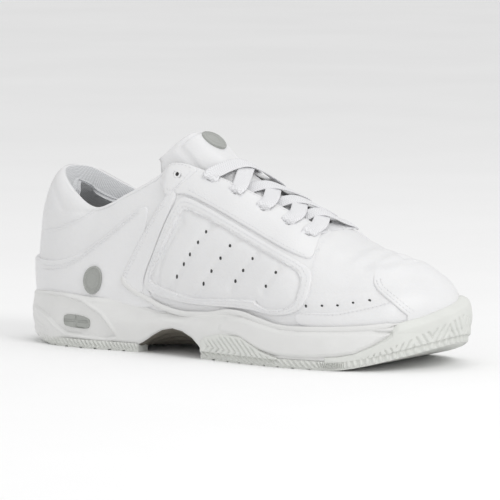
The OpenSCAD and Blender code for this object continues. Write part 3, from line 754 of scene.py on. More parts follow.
# The midsole's side in (station, height in mm): its rim, the welt cord, the arch, the eye-shaped recess
# at the heel, the leaf-shaped wall beside the ball of the foot and the crease behind the heel.
RIM = [(0, 31), (1, 32.5), (2, 34), (2.6, 33.6), (3.2, 32.5), (4, 32), (4.8, 29), (5.6, 26), (6.3, 26),
       (7, 28), (7.5, 30), (8, 29.4), (8.5, 26.5), (9, 24.6), (10, 25.6), (11, 27.5), (12, 29)]
BEAD = [(6.87, 27.4), (7.23, 28.4), (7.58, 30.7), (7.93, 30.4), (8.29, 27.8), (8.82, 24.4), (9.49, 24.6),
        (10.12, 25.5), (10.7, 27.2), (11.05, 29)]
ARCH_OUTER = [(4.85, 5.2), (5.0, 6.6), (5.39, 11.2), (5.82, 15.4), (6.16, 17), (6.45, 15.8), (6.71, 12.3),
              (6.89, 7.6), (6.95, 5.2)]
EYE = [(-0.3, 30.6), (0.7, 30.9), (1.6, 32), (2.37, 32.6), (3.0, 30.0), (3.6, 21.7), (4.1, 9.2), (3.8, 7.4),
       (3.45, 7.6), (2.53, 9.0), (2.2, 13.0), (1.9, 17.8), (1.3, 22.5), (0.6, 26.3), (-0.3, 26.6)]
LEAF = [(7.40, 18.8), (7.86, 17.0), (8.10, 13.5), (8.29, 10.6), (8.68, 7.6), (9.3, 7.3), (9.9, 8.8),
        (10.3, 11), (10.62, 16), (10.95, 23.0), (10.6, 24.4), (9.8, 23.0), (9.2, 22.2), (8.82, 22.6),
        (8.35, 25.6), (7.93, 28.2), (7.62, 27.5), (7.44, 24)]
FLEX_CREASE = [(0.25, 25.5), (1.0, 17), (1.75, 10.0)]
S_MM = 27.0  # millimetres in a station along the sole's side
TREAD_END, TREAD_START = 4.83, 6.97  # stations where the heel's tread ends and the forefoot's begins


def along_table(table, s):
    rows = np.asarray(table, float)
    return np.interp(outer_station(s), rows[:, 0], rows[:, 1])


def waist_share(s):
    side_s = outer_station(s)
    return ease((side_s - 3.3) / 0.7) * ease((7.0 - side_s) / 0.7)


def arch_height(s):
    """Underside of the midsole over the arch, above the tread."""
    outer = along_table(ARCH_OUTER, s)
    return np.where(np.mod(s, TURN) > TOE, TREAD_Z + 0.35 * (outer - TREAD_Z), outer)


def sole_bottom(s):
    return arch_height(s) + rise_at(s)


def under_middle(s):
    """The sole's underside beside its middle line, where the arch is flatter."""
    p = wall(s, sole_bottom(s), 0.0) * (0.97, 0.45, 1)
    p[..., 2] = TREAD_Z + rise_at(s) + 0.15 * (arch_height(s) - TREAD_Z)
    return p


def side_plane(s, z):
    return np.stack([outer_station(s) * S_MM, np.asarray(z, float)], -1)


def scaled(points):
    return np.asarray(points, float) * (S_MM, 1)


def midsole_offset(s, z):
    """How far the midsole's side stands out of the feather line."""
    side_s = outer_station(s)
    low, high = sole_bottom(s), along_table(RIM, s)
    f = clamp((z - low) / (high - low))
    belly = 3.1 + 1.5 * np.sin(math.pi * clamp(f * 0.9 + 0.05)) - 0.5 * f
    o = belly * (1 - 0.45 * ease((side_s - 10.2) / 0.9))
    at = side_plane(s, z)
    eye = signed_distance(at, scaled(EYE))
    around = ease((side_s - 0.8) / 1.0)
    o = o - 1.9 * around * ease((eye + 0.3) / 1.3)
    o = o + 0.7 * bell(eye + 1.3, 1.0) * ease((4.2 - side_s) / 0.3) * around
    leaf = signed_distance(at, scaled(LEAF))
    o = o + 1.0 * ease((leaf + 0.1) / 2.2)
    o = o - 0.9 * bell(leaf + 0.7, 0.6) * ease((side_s - 7.5) / 0.4)
    crease = distance_to(at, scaled(FLEX_CREASE), False)
    o = o - 0.6 * bell(crease, 1.0)
    waist = waist_share(s)
    lip = bell(high - 1.3 - z, 1.2)
    heel = ease((2.2 - side_s) / 2.2) * (1.3 + 2.0 * np.sin(math.pi * clamp((z - 6) / 24)))
    return o + heel + 0.5 * lip * (1 - waist) - 1.9 * waist * ease((f - 0.45) / 0.5)


def make_midsole():
    count, rows = 900, 46
    s = TURN * np.arange(count) / count
    under = under_middle(s)
    rings = [under, mix(under, wall(s, sole_bottom(s), 2.0), 0.97)]
    wrap = 3.6 * ease((2.6 - outer_station(s)) / 0.9)
    rim = along_table(RIM, s)
    for f in np.linspace(0, 1, rows):
        z = mix(sole_bottom(s) - wrap, rim, f)
        o = midsole_offset(s, z) + 0.3 * wrap * clamp(1 - f * 5)
        tuck = 0.8 * clamp(1 - f * 14) + 0.7 * clamp(1 - (1 - f) * 14)
        rings.append(wall(s, z, o - tuck))
    pocket = mix(14.0, BED_Z, ease((outer_station(s) - 3.2) / 0.8))
    for z, o in ((rim + 0.3, 1.6 - 1.3 * waist_share(s)), (rim - 0.4, 0.35), (23.6, 0.35), (BED_Z, -1.5),
                 (pocket, -5)):
        rings.append(wall(s, z, o))
    ring_solid("midsole_body", rings, "midsole_foam", sharp=40, stands_for=["midsole"])


def make_bead(side, name):
    """Welt cord from the saddle's corner down and along the rim to the toe guard."""
    corner = np.array([(4.24, 0.23), (4.30, 0.185), (4.48, 0.15), (4.72, 0.118), (5.30, 0.075), (5.8, 0.045)])
    count = 260
    corner[:, 1] = FEATHER_Z + corner[:, 1] * climb(corner[:, 0])
    path = np.vstack([corner, [(6.4, 27.1)], BEAD])
    line = smooth_open(path, np.linspace(0, len(path) - 1, count))
    s, z = on_side(side, line[:, 0]), line[:, 1]
    cover = ease((line[:, 0] - 5.2) / 1.5)
    centres = wall(s, z, mix(1.3, 2.3, cover) * (1 - 0.25 * ease(line[:, 0] - 10)))
    along = unit(np.gradient(centres, axis=0))
    normals = unit(np.cross(along, np.cross(outward(s), along)))
    across = np.cross(along, normals)
    a = angles(10)
    taper = fade_ends(count, 10, 0.25)
    swept("welt_bead_" + name, centres, across * taper, normals * taper,
          np.stack([1.7 * np.cos(a), 0.8 * np.sin(a)], 1), "midsole_foam")


def side_grid(s0, s1, cols, rows):
    """A column of stations, and a row of shares from the bottom to the top."""
    return np.linspace(s0, s1, cols)[:, None], np.linspace(0, 1, rows)[None, :]


def notch(phase, width):
    """1 in the middle of each groove and 0 between them."""
    return bell((phase % 1) - 0.5, width)


def tread_strip(name, s0, s1, count):
    """Ribbed edge of the tread; the ribs lean back along the side and stand upright at the toe."""
    s, f = side_grid(s0, s1, count, 7)
    z = mix(0.7, 5.5, f) + rise_at(s)
    toe = ease((outer_station(s) - 9.6) / 0.6)
    phase = s * S_MM / mix(3.3, 2.9, toe) + mix(1.1, 0.1, toe) * f * 1.3
    rib = np.clip(np.sin(2 * math.pi * phase) * 1.6, -1, 1)
    rib = rib * clamp(np.minimum(f, 1 - f) * 6)
    heel = ease((1.8 - outer_station(s)) / 1.6)
    tuck = (1.1 + 2.2 * heel) * clamp(1 - f * mix(3, 1.4, heel)) ** 2
    plate(name, wall(s, z, 3.75 + 0.6 * rib - tuck), wall(s, z, 3.05), "sole_rubber")


def make_side_tread(side, name):
    """Chevron ribs where the rubber wraps up the side behind the ball of the foot."""
    cols, low = 200, 4.9
    s, f = side_grid(6.98, 8.78, cols, 46)
    top = np.interp(s, [6.98, 7.1, 7.5, 7.93, 8.2, 8.4, 8.78], [11.5, 14.2, 17, 16.5, 12.3, 9.0, 5.9])
    z = mix(low, top, f)
    u = s * S_MM
    vertex = 9.0 - 0.10 * (u - 7.0 * S_MM)
    groove = notch((u + 0.85 * np.abs(z - vertex)) / 3.5, 0.17)
    fade = ease((u - 7.06 * S_MM) / 4) * ease((top - 0.6 - z) / 1.2) * ease((z - low) / 0.5)
    fade = fade * (1 - ease((z - 11.0) / 4) * ease((7.55 * S_MM - u) / 6))
    edge = clamp(np.minimum(f * 20, (1 - f) * 8))
    o = 4.7 + 0.9 * np.sqrt(edge * fade_ends(cols, 3)) - 1.15 * groove * fade
    ss = on_side(side, s)
    plate("side_tread_chevrons_" + name, wall(ss, z, o), wall(ss, z, 3.6), "sole_rubber", sharp=60,
          stands_for=["side_tread_" + name])


def make_toe_guard():
    """Rubber that wraps up over the toe, smooth above and grooved in zigzags below."""
    cols, start = 520, 9.75
    s, f = side_grid(start, TURN - start, cols, 60)
    side_s = outer_station(s)
    toe_top = FEATHER_Z + climb(s) * np.interp(s, [10.95, 11.03, 11.37, 11.7, 12, 12.3, 12.6, 12.9, 13.05],
                                               [0.06, 0.09, 0.15, 0.23, 0.29, 0.33, 0.31, 0.2, 0.06])
    top = np.where(side_s < 10.95, np.interp(side_s, [9.7, 10.0, 10.3, 10.62, 10.85, 10.95],
                                             [8.6, 9.2, 11.2, 16.4, 21, 24.5]), toe_top)
    low = 4.9 + rise_at(s)
    z = mix(low, mix(np.minimum(top, 24.5), top, ease((side_s - 10.8) / 0.25)), f)
    from_tip = np.abs(s - TOE)
    u = from_tip * 24.0
    zigzag = 1 - np.abs(((u / 12.0) % 1) - 0.5) * 2
    depth = z - low
    groove = notch((depth - 20 * zigzag) / 7.4, 0.15)
    reach = np.interp(u, [0, 6, 12, 20, 36], [13.0, 11.0, 9.5, 6.0, 1.5])
    fade = ease((reach - depth) / 1.5) * ease(depth / 0.6) * ease((1.72 - from_tip) / 0.2)
    edge = clamp(np.minimum((1 - f) * mix(5, 9, ease((s - 12.1) / 0.4)), f * 25))
    thick = mix(1.5, 3.2, ease((side_s - 10.2) / 1.0)) + 0.3 * np.sin(math.pi * f)
    o = 2.5 - 1.5 * ease((f - 0.75) / 0.25) + thick * np.sqrt(edge * fade_ends(cols, 4)) - 1.1 * groove * fade
    back = 2.1 - 1.6 * ease((z - 25) / 4)
    plate("toe_guard_rubber", wall(s, z, o), wall(s, z, back), "sole_rubber", sharp=60,
          stands_for=["toe_guard"])


def make_heel_insert(side, name):
    """Grey window in the heel's recess with plain ribs."""
    outline = rounded([(2.50, 12.9), (3.22, 11.9), (3.26, 15), (3.26, 18.4), (3.05, 20.3), (2.54, 20.7),
                       (2.44, 19), (2.46, 14.6)])

    def ribs(s, z):
        long_rib = np.abs(((z - 12.6) / 4.1) % 1 - 0.5) < 0.3
        split = np.abs(s - 2.86) < 0.035
        rim = signed_distance(np.stack([s * S_MM, z], -1), scaled(outline)) < 0.7
        return np.where(rim | (long_rib & ~split), 3.75, 3.15)

    cut_sheet("heel_insert_%s_window" % name, outline, ribs, 2.2, "grey_trim", side, 0.3, spacing=0.45,
              place=wall, soft=lambda s, t: 0, sharp=35, stands_for=["heel_insert_" + name])


def make_shank():
    """Dark moulded plate under the waist: it follows the arch, with ridges that run along it."""
    s = np.linspace(4.80, 7.02, 90)[:, None]
    (a, b), (d, c) = ((wall(v, sole_bottom(v), 1.9), under_middle(v)) for v in (s, TURN - s))
    across = np.linspace(0, 3, 73)[None, :, None]
    far = np.where(across < 2, mix(b, c, across - 1), mix(c, d, across - 2))
    base = np.where(across < 1, mix(a, b, across), far)
    f = across[..., 0] / 3
    ridge = 0.75 * np.abs(np.sin(f * math.pi * 11)) + 1.5 * np.sin(math.pi * f) ** 2
    over, top = base.copy(), base.copy()
    over[..., 2] = np.maximum(base[..., 2] - 0.5 - ridge, 1.9)
    top[..., 2] += 0.8
    plate("shank_arch", over, top, "shank_plastic", sharp=60, stands_for=["shank_plate"])


def make_sole():
    make_midsole()
    for name, side in SIDES.items():
        make_bead(side, name)
        make_side_tread(side, name)
        make_heel_insert(side, name)
    tread_strip("tread_edge_heel", -TREAD_END, TREAD_END, 640)
    tread_strip("tread_edge_forefoot", TREAD_START, TURN - TREAD_START, 900)
    make_toe_guard()
    make_shank()
    for name in SIDES:
        for node in ("sidewall_", "heel_stabiliser_"):
            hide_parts(node + name)


# ---------- upper ----------

# Outlines and seams in (station, height): height is 0 at the feather line and 1 at the top line.
PANEL_IN = [(6.53, 0.59), (7.48, 0.56), (8.36, 0.51), (9.10, 0.455), (9.22, 0.38), (9.14, 0.20),
            (8.90, 0.14), (8.55, 0.11), (8.25, 0.14), (8.20, 0.165), (7.12, 0.115), (6.61, 0.105),
            (5.79, 0.14), (5.27, 0.18), (5.31, 0.21), (5.98, 0.37), (6.40, 0.56)]
PANEL_OUT = [(6.50, 0.675), (7.4, 0.638), (8.1, 0.600), (9.30, 0.52), (9.46, 0.42), (9.36, 0.19),
             (9.05, 0.10), (8.55, 0.075), (8.1, 0.095), (7.1, 0.075), (6.5, 0.07), (5.75, 0.09),
             (5.08, 0.13), (5.02, 0.21), (5.65, 0.39), (6.10, 0.56), (6.25, 0.645)]
PERFORATIONS = [[(7.05, 0.49), (6.85, 0.41), (6.64, 0.33), (6.47, 0.27), (6.27, 0.20)],
                [(7.62, 0.46), (7.41, 0.36), (7.19, 0.27), (6.98, 0.19)],
                [(8.15, 0.43), (7.94, 0.33), (7.76, 0.25)],
                [(8.69, 0.39), (8.47, 0.27)]]
VENTS = [(9.35, 0.19), (9.67, 0.21), (9.96, 0.23), (10.25, 0.27), (10.54, 0.31)]
RAND_TOP = [(9.14, 0.13), (9.55, 0.145), (10.02, 0.17), (10.59, 0.26), (11.0, 0.34)]
SADDLE = [(4.22, 0.19), (4.24, 0.25), (4.65, 0.40), (5.07, 0.53), (5.52, 0.61), (5.80, 0.64)]
HEEL_TOP = [(0, 0.262), (1.14, 0.25), (2.17, 0.315), (2.73, 0.41), (3.22, 0.52), (3.79, 0.60), (4.25, 0.66),
            (4.58, 0.69)]
COLLAR_SEAM = [(0, 0.41), (1.43, 0.43), (2.05, 0.54), (2.57, 0.70), (2.8, 0.80), (3.01, 0.93)]
TOE_SEAM = [(10.55, 0.52), (10.57, 0.47), (10.65, 0.41), (10.88, 0.31), (11.18, 0.17)]
EYESTAY_LOW = [(7.3, 0.665), (8.1, 0.63), (9.2, 0.565)]
EYESTAY_BOTTOM = [(6.5, 0.70)] + EYESTAY_LOW
LACE_ROWS = [6.95, 7.5, 8.1, 8.65, 9.1]
EYELET_T = [0.90, 0.89, 0.87, 0.85, 0.83]
FREE_EYELET = (6.14, 0.83)
EYELET_RADIUS, HOLE_RADIUS = 1.9, 0.68
THROAT = 0.97  # height of the eyestay's edge beside the throat
LEATHER = 1.6  # thickness of the base leather
GLUE = 0.02  # gap that keeps two layers apart


def make_quarter(side, name):
    """Base leather of one side, turned over at the throat."""
    s, t = side_grid(0.0, 9.42, 300, 90)
    s, t = np.broadcast_arrays(on_side(side, s), t)
    form = relief(s, t)
    turn = 0.7 * clamp((t - 0.975) / 0.025) ** 2
    plate("quarter_%s_leather" % name, upper(s, t, form - turn), upper(s, t, np.minimum(form, 0) - LEATHER),
          "leather_base", sharp=60, stands_for=["quarter_" + name])


def toe_grid(s_edge, t_low, height, cols):
    """Grid over the toe: each row runs up the outer side, over the ridge and down the inner side."""
    i = np.linspace(0, 1, 110)[:, None]
    t = np.linspace(t_low, 1, cols)[None, :] + 0 * i
    s = mix(s_edge(t), TOE, i)
    left, right = (upper(ss, t, height(ss, t)) for ss in (s, TURN - s))
    return np.concatenate([left[:, :-1], (left[:, -1:] + right[:, -1:]) / 2, right[:, -2::-1]], 1)


def toe_plate(name, outer, inner, material, **more):
    """Closed plate over the toe: its last row is one line that both halves of the columns share."""
    rows, cols = outer.shape[:2]
    size = rows * cols
    half = cols // 2
    index = np.arange(size).reshape(rows, cols)
    index[-1, half + 1:] = index[-1, :half][::-1]
    points = np.concatenate([outer.reshape(-1, 3), inner.reshape(-1, 3)])
    top = np.stack([index[:-1, :-1], index[:-1, 1:], index[1:, 1:], index[1:, :-1]], -1).reshape(-1, 4)
    (a, b), (c, d), (e, f) = ((line[:-1], line[1:]) for line in (index[0], index[:, 0], index[:, -1]))
    walls = [(a, a + size, b + size, b), (c, d, d + size, c + size), (e, e + size, f + size, f)]
    faces = np.concatenate([top, top[:, ::-1] + size] + [np.stack(w, 1) for w in walls])
    p = points[top]
    normal = np.cross(p[:, 1] - p[:, 0], p[:, 3] - p[:, 0])
    away = p.mean(1) - np.array([95, 0, 30])
    faces = np.array(facing_out(faces, (normal * away).sum()))
    used, faces = np.unique(faces, return_inverse=True)
    faces = [tuple(dict.fromkeys(f)) for f in faces.reshape(-1, 4).tolist()]
    make_piece(name, points[used], [f for f in faces if len(f) > 2], material, **more)


def make_vamp():
    def edge(t):
        return 9.36 + 0 * t

    toe_plate("vamp_leather", toe_grid(edge, 0.0, relief, 80), toe_grid(edge, 0.0, lambda s, t: -LEATHER, 80),
              "leather_base", sharp=60, stands_for=["vamp"])


def make_toe_cap():
    """Toe overlay behind its double-stitched seam; its top fades into the vamp."""
    seam_s, seam_t = np.array(TOE_SEAM[::-1]).T

    def edge(t):
        return np.interp(t, seam_t, seam_s) + 0.9 * ease((t - 0.62) / 0.38)

    def height(s, t):
        inset = (outer_station(s) - edge(t)) * 24
        fade = 1 - ease((t - 0.44) / 0.18)
        return relief(s, t) + 0.06 + 1.15 * edge_curve(inset / 0.9) * fade

    inner = toe_grid(edge, 0.10, lambda s, t: relief(s, t) + GLUE, 70)
    toe_plate("toe_cap_leather", toe_grid(edge, 0.10, height, 70), inner, "leather_overlay", sharp=70,
              stands_for=["toe_cap"])


def shade_discs(name, places, side, h):
    """Near-black discs under round holes: painted shade for the dark inside of each hole."""
    n = 10
    points, faces = [], []
    for place in places:
        ring = circle(place, HOLE_RADIUS + 0.35, n)
        s, t = on_side(side, ring[:, 0]), ring[:, 1]
        form = relief(s, t)
        a, b = len(points), len(points) + n
        points += list(upper(s, t, form + h)) + list(upper(s, t, form + h - 0.1))
        faces += [tuple(range(a, b)), tuple(range(b, b + n))[::-1]]
        for k in range(n):
            m = (k + 1) % n
            faces.append((a + m, a + k, b + k, b + m))
    make_piece(name, points, facing_out(faces, side), "hole_painted_shade", slot=False)


def make_side(side, name):
    """All that is stitched on one side of the shoe."""
    def sheet(node, outline, high, material="leather_overlay", bevel=1.0, holes=(), spacing=1.8):
        cut_sheet("%s_%s_leather" % (node, name), outline, high, GLUE, material, side, bevel, holes, spacing,
                  stands_for=["%s_%s" % (node, name)])

    columns = [[(6.42, 0.50), (5.98, 0.36), (5.72, 0.25), (5.62, 0.18)]]
    for row in PERFORATIONS[::-1]:
        first, last = np.array(row[0]), np.array(row[-1])
        columns.insert(0, np.vstack([mix(first, last, -0.25), row, mix(first, last, 1.3)]))

    def panel_height(s, t):
        total = 1.15
        for column in columns:
            total = total - 0.95 * bell(plane_distance(s, t, column, False), 1.9)
        return total - 0.75 * bell(plane_distance(s, t, PANEL_IN), 2.6)

    grown = rounded(PANEL_IN, 1)
    places = [p for row in PERFORATIONS for p in row]
    sheet("side_panel", mix(grown.mean(0), grown, 1.045), panel_height, "leather_base", 0.5,
          [circle(p, HOLE_RADIUS) for p in places], 1.3)
    # Painted shade inside the panel's perforations.
    shade_discs("panel_hole_shade_" + name, places, side, 0.12)
    sheet("panel_frame", rounded(PANEL_OUT), 1.9, holes=[rounded(PANEL_IN)])

    saddle = SADDLE + [(5.95, 0.72), (6.22, 0.68), (6.05, 0.555), (5.60, 0.39), (5.0, 0.22), (5.02, 0.115),
                       (4.72, 0.112), (4.32, 0.155)]
    sheet("saddle_strap", rounded(saddle), 1.5, bevel=1.1)

    eyestay = [(6.12, 0.66), (6.46, 0.692)] + EYESTAY_LOW + [
        (9.36, 0.60), (9.33, 0.76), (9.22, 0.955), (8.6, THROAT), (7.5, THROAT), (6.7, THROAT), (6.40, 0.96),
        (6.20, 0.88), (6.05, 0.74)]
    eyelets = [circle(p, EYELET_RADIUS, 14) for p in zip(LACE_ROWS, EYELET_T)]
    sheet("eyestay", rounded(eyestay), 1.45, holes=eyelets)

    tab = [(5.30, 0.84), (5.40, 0.955), (6.1, 0.975), (6.62, 0.965), (6.56, 0.88), (6.40, 0.79),
           (6.20, 0.715), (5.90, 0.635), (5.80, 0.67), (5.55, 0.75)]
    sheet("eyelet_tab", rounded(tab, 1), lambda s, t: 0.3 + 2.0 * ease((s - 5.35) / 0.5),
          holes=[circle(FREE_EYELET, 1.6, 14)], spacing=1.6)
    # Painted shade inside the free top eyelet.
    shade_discs("eyelet_hole_shade_" + name, [FREE_EYELET], side, 1.5)

    rand = RAND_TOP + [(11.02, 0.12), (10.5, 0.04), (9.9, 0.02), (9.3, 0.02), (9.1, 0.05)]
    sheet("vamp_rand", rounded(rand), lambda s, t: 0.08 + 0.7 * ease((10.7 - s) / 1.2), bevel=0.8)

    vent_field = [(9.2, 0.15), (9.55, 0.16), (10.02, 0.185), (10.55, 0.27), (10.72, 0.33), (10.6, 0.40),
                  (10.2, 0.37), (9.8, 0.33), (9.45, 0.30), (9.25, 0.27)]

    def vent_height(s, t):
        return 0.03 + 0.65 * ease(plane_distance(s, t, vent_field) / 4)

    cut_sheet("vent_strip_" + name, vent_field, vent_height, GLUE / 2, "leather_base", side, 0.2,
              [circle(p, HOLE_RADIUS) for p in VENTS], 1.5)
    # Painted shade inside the vents.
    shade_discs("vent_hole_shade_" + name, VENTS, side, 0.10)


def both_sides(half, last):
    """Outline across the heel from its outer half, which starts on the middle line, and its last point."""
    return rounded(half + [last] + [(-s, t) for s, t in half[:0:-1]])


def make_heel():
    outline = both_sides(HEEL_TOP + [(4.98, 0.66), (4.92, 0.44), (4.75, 0.24), (5.3, 0.10), (5.5, 0.03),
                                     (3.6, 0.04), (2, 0.04)], (0, 0.04))
    cut_sheet("heel_overlay_leather", outline, lambda s, t: 0.8 + 2.6 * ease((2.6 - np.abs(s)) / 2.6), GLUE,
              "leather_overlay", 1, 1.2, stands_for=["heel_overlay"])
    brim = 0.985
    collar = both_sides(COLLAR_SEAM + [(3.1, brim), (2, brim), (1, brim)], (0, brim))

    def puff(s, t):
        return 0.3 + 0.4 * ease(plane_distance(s, t, collar) / 9)

    cut_sheet("achilles_collar_leather", collar, puff, GLUE, "leather_base", 1, 1.2,
              stands_for=["achilles_collar"])


def oval(centre, half, sides, rim, ring, heights):
    """Outline and height of a plain oval badge with a raised rim and a raised ring in it."""
    def height(s, t):
        e = ((s - centre[0]) / half[0]) ** 2 + ((t - centre[1]) / half[1]) ** 2
        return np.where(e > rim, heights[0], np.where(np.abs(e - 0.30) < ring, heights[1], heights[2]))

    return circle(centre, 1.0, sides, (1 / half[0], 1 / half[1])), height


def make_badges():
    outline, height = oval((3.3, 0.22), (0.27, 0.105), 48, 0.70, 0.07, (2.15, 2.0, 1.65))
    for name, side in SIDES.items():
        cut_sheet("heel_badge_%s_oval" % name, outline, height, 1.0, "grey_trim", side, 0.35, spacing=0.6,
                  sharp=35, stands_for=["heel_badge_" + name])


def make_seams():
    """Threads of the upper's seams."""
    inner_line, outer_line = rounded(PANEL_IN), rounded(PANEL_OUT)
    seams = [(parallel(path, offset), h)
             for path, offsets, h in ((SADDLE, (-2.0, -3.8), 1.56), (HEEL_TOP[1:], (-2.0, -3.6), 1.75),
                                      (TOE_SEAM[::-1], (-1.8, -3.6), 1.25), (EYESTAY_BOTTOM, (1.9,), 1.5))
             for offset in offsets]
    seams += [([(6.75, 0.945), (7.5, 0.945), (8.3, 0.945), (9.1, 0.94)], 1.5),
              ([(5.68, 0.93), (6.1, 0.945), (6.42, 0.935)], 2.35),
              ([(5.85, 0.71), (6.05, 0.69), (6.25, 0.745), (6.42, 0.85), (6.48, 0.91)], 2.35),
              ([(9.25, 0.125), (9.6, 0.132), (10.02, 0.155), (10.6, 0.24), (10.9, 0.30)], 0.85),
              (parallel(COLLAR_SEAM[1:6], 1.8), 1.1)]
    for name, side in SIDES.items():
        rows = []
        for share in (0.27, 0.62):
            ring = []
            for p in resampled(inner_line, 2.0, PLANE_MM):
                near = outer_line[np.argmin((((outer_line - p) * PLANE_MM) ** 2).sum(1))]
                ring.append(mix(p, near, share))
            rows.append(on_upper(np.array(ring + [ring[0]]), 1.98, side))
        stitches("stitching_" + name, rows + [seam_on_upper(path, h, side) for path, h in seams])


# ---------- collar and lining ----------

# The collar roll from the outer seam over the brim and down inside: (height, thin depth, padding).
ROLL = [(0.915, 0.35, 0), (0.955, 0.30, 0), (0.985, -0.55, -0.02), (1.0, -1.4, -0.12),
        (1.003, -2.2, -0.34), (0.995, -2.8, -0.60), (0.97, -3.3, -0.86), (0.925, -3.7, -1.0),
        (0.86, -3.8, -1.04), (0.74, -3.8, -0.95), (0.62, -3.8, -0.62), (0.50, -3.8, -0.25),
        (0.38, -3.8, -0.05), (0.2, -3.8, 0), (0.06, -3.8, 0)]


LEATHER_ROWS = 16  # rows of the roll, of 90, that are leather


def make_collar_lining():
    """Padded roll round the ankle that runs on down as the lining; its outer rows are leather."""
    cols, rows = 360, 90
    s = np.linspace(-6.55, 6.55, cols)[:, None]
    height, depth, padding = np.moveaxis(smooth_open(ROLL, np.linspace(0, len(ROLL) - 1, rows)), -1, 0)
    s, t = np.broadcast_arrays(s, height)
    share = ease((4.9 - np.abs(s)) / 1.7)
    pillow = 6.2 + 8.0 * bell(np.abs(s) - 1.3, 1.25) + 0.5 * np.cos(s * 2.2)
    on_skin = clamp(t)
    rim = ease((t - 0.8) / 0.1)
    wrinkle = 0.35 * soft_noise(skin(s, on_skin), 22, 8) * share
    lift = 0.9 * bell(depth + LEATHER, LEATHER) * share * rim
    depth = depth + padding * pillow * share
    points = upper(s, t, depth + relief(s, on_skin) * ease((depth + 4) / 3.6) + wrinkle * rim)
    points[..., 2] += lift
    piece = plate("collar_lining_roll", points, upper(s, t, 0.80 * np.minimum(depth + 1.9, 0) - 1.9),
                  "lining_fabric", sharp=80, stands_for=["collar_lining", "collar_foam"])
    piece.data.materials.append(MATERIALS["leather_base"])
    for face in piece.data.polygons:
        index = face.vertices[0]
        if index < cols * rows and index % rows < LEATHER_ROWS:
            face.material_index = 1


# ---------- tongue ----------

# Middle line of the tongue, its half width, and how far its edges lie back and down.
TONGUE_LINE = [(64, 0, 78), (44, 0, 87), (21, 0, 97.5), (0, 0, 110.5), (-13, 0, 121), (-26, 0, 131),
               (-36, 0, 135.5)]
TONGUE_HALF = [(14,), (19,), (22,), (22.5,), (22.5,), (22,), (21,)]
TONGUE_SAG = [(-1, 0, -3), (-2, 0, -8), (-4, 0, -13), (-7, 0, -17), (-12, 0, -21), (-19, 0, -25),
              (-24, 0, -23)]
TONGUE_END = len(TONGUE_LINE) - 1
FOLD = 4  # row of the soft fold


def tongue_face(a, b):
    """Point on the tongue's middle skin: a runs up it and b from edge to edge."""
    a, b = np.broadcast_arrays(np.asarray(a, float), np.asarray(b, float))
    half = smooth_open(TONGUE_HALF, a)[..., 0]
    b = b * (1 - 0.07 * ease((a - 4.9) / 1.1) ** 2)
    drop = np.abs(b) ** mix(2.8, 4.5, ease((a - 3.8) / 1.6))
    point = smooth_open(TONGUE_LINE, a) + smooth_open(TONGUE_SAG, a) * drop[..., None]
    point[..., 1] += half * b
    return point


def tongue_normal(a, b):
    low, high = np.clip(a - 0.04, 0, TONGUE_END), np.clip(a + 0.04, 0, TONGUE_END)
    along = tongue_face(high, b) - tongue_face(low, b)
    across = tongue_face(a, b - 0.03) - tongue_face(a, b + 0.03)
    n = unit(np.cross(along, across))
    return np.where(n[..., 2:] < 0, -n, n)


def tongue_at(a, b, h):
    a, b, h = np.broadcast_arrays(*(np.asarray(v, float) for v in (a, b, h)))
    return tongue_face(a, b) + h[..., None] * tongue_normal(a, b)


def make_tongue():
    """Padded tongue: one shell that swells between its bound edges."""
    a = np.linspace(0.1, TONGUE_END, 150)[:, None]
    b = np.linspace(-1, 1, 90)[None, :]
    top_share = ease((a - 3.2) / 1.6)
    inset = np.minimum((1 - np.abs(b)) * 24, (TONGUE_END - a) * 12)
    swell = np.sqrt(clamp(1 - (1 - clamp(inset / 6)) ** 2))
    seam = 1.1 * bell(inset - 5.2, 1.0) * top_share
    channel = 0.8 * bell(a - 3.35, 0.09) * ease((0.9 - np.abs(b)) / 0.2)
    creases = 0.45 * soft_noise(tongue_face(a, b), 26, 5) * swell
    over = tongue_at(a, b, mix(-1.6, 1.5, swell) * mix(0.75, 1, top_share) - seam - channel + creases)
    under = tongue_at(a, b, mix(-3.4, -7.0, swell) + 0.3 * creases)
    root = (clamp(1 - a / 0.45) ** 2)[..., None] * np.array([8.0, 0, -5.6])
    nodes = ["tongue_cover", "tongue_foam", "tongue_lining"]
    nodes += [node.replace("tongue", "tongue_top") for node in nodes]
    piece = plate("tongue_shell", over + root, under + root, "leather_base", body=None, sharp=80,
                  stands_for=nodes)
    before, after = (tuple(Vector(tongue_face(FOLD + step, 0.0) * MM)) for step in (-0.5, 0.5))
    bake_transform(piece)


def make_tongue_badge():
    outline, height = oval((4.95, 0.0), (0.62, 0.36), 40, 0.74, 0.06, (1.9, 1.75, 1.45))
    cut_sheet("tongue_badge_oval", outline, height, 0.2, "grey_trim", 1, 0.3, spacing=0.6, place=tongue_at,
              soft=lambda a, b: 0.55, body="tongue_top", sharp=35, stands_for=["tongue_badge"])


# ---------- lace ----------

LACE_WIDTH, LACE_THICKNESS = 10.0, 1.4


def lace_anchor(side, k, at_eyelet, over):
    """Point and normal of the lace at an eyelet or the throat's edge, over or under the leather."""
    s = np.array(on_side(side, LACE_ROWS[k]), float)
    t = np.array(EYELET_T[k] if at_eyelet else 1.0)
    return upper(s, t, 2.3 if over else -3.2), skin_normal(s, t)


def crossing_point(side, k):
    """Middle of a crossing, clear of the tongue, with the outer side's strand on the lower level."""
    m = (lace_anchor(side, k, False, True)[0] + lace_anchor(-side, k - 1, False, True)[0]) / 2
    ladder = smooth_open(TONGUE_LINE, np.linspace(0, TONGUE_END, 200))
    z = ladder[np.argmin(np.abs(ladder[:, 0] - m[0])), 2]
    m[2] = max(m[2] + 0.8, z + 2.7) + (0 if side > 0 else 1.6) + (3 if k == 1 else 0)
    return m, unit(np.array([0.45, 0, 0.9]))


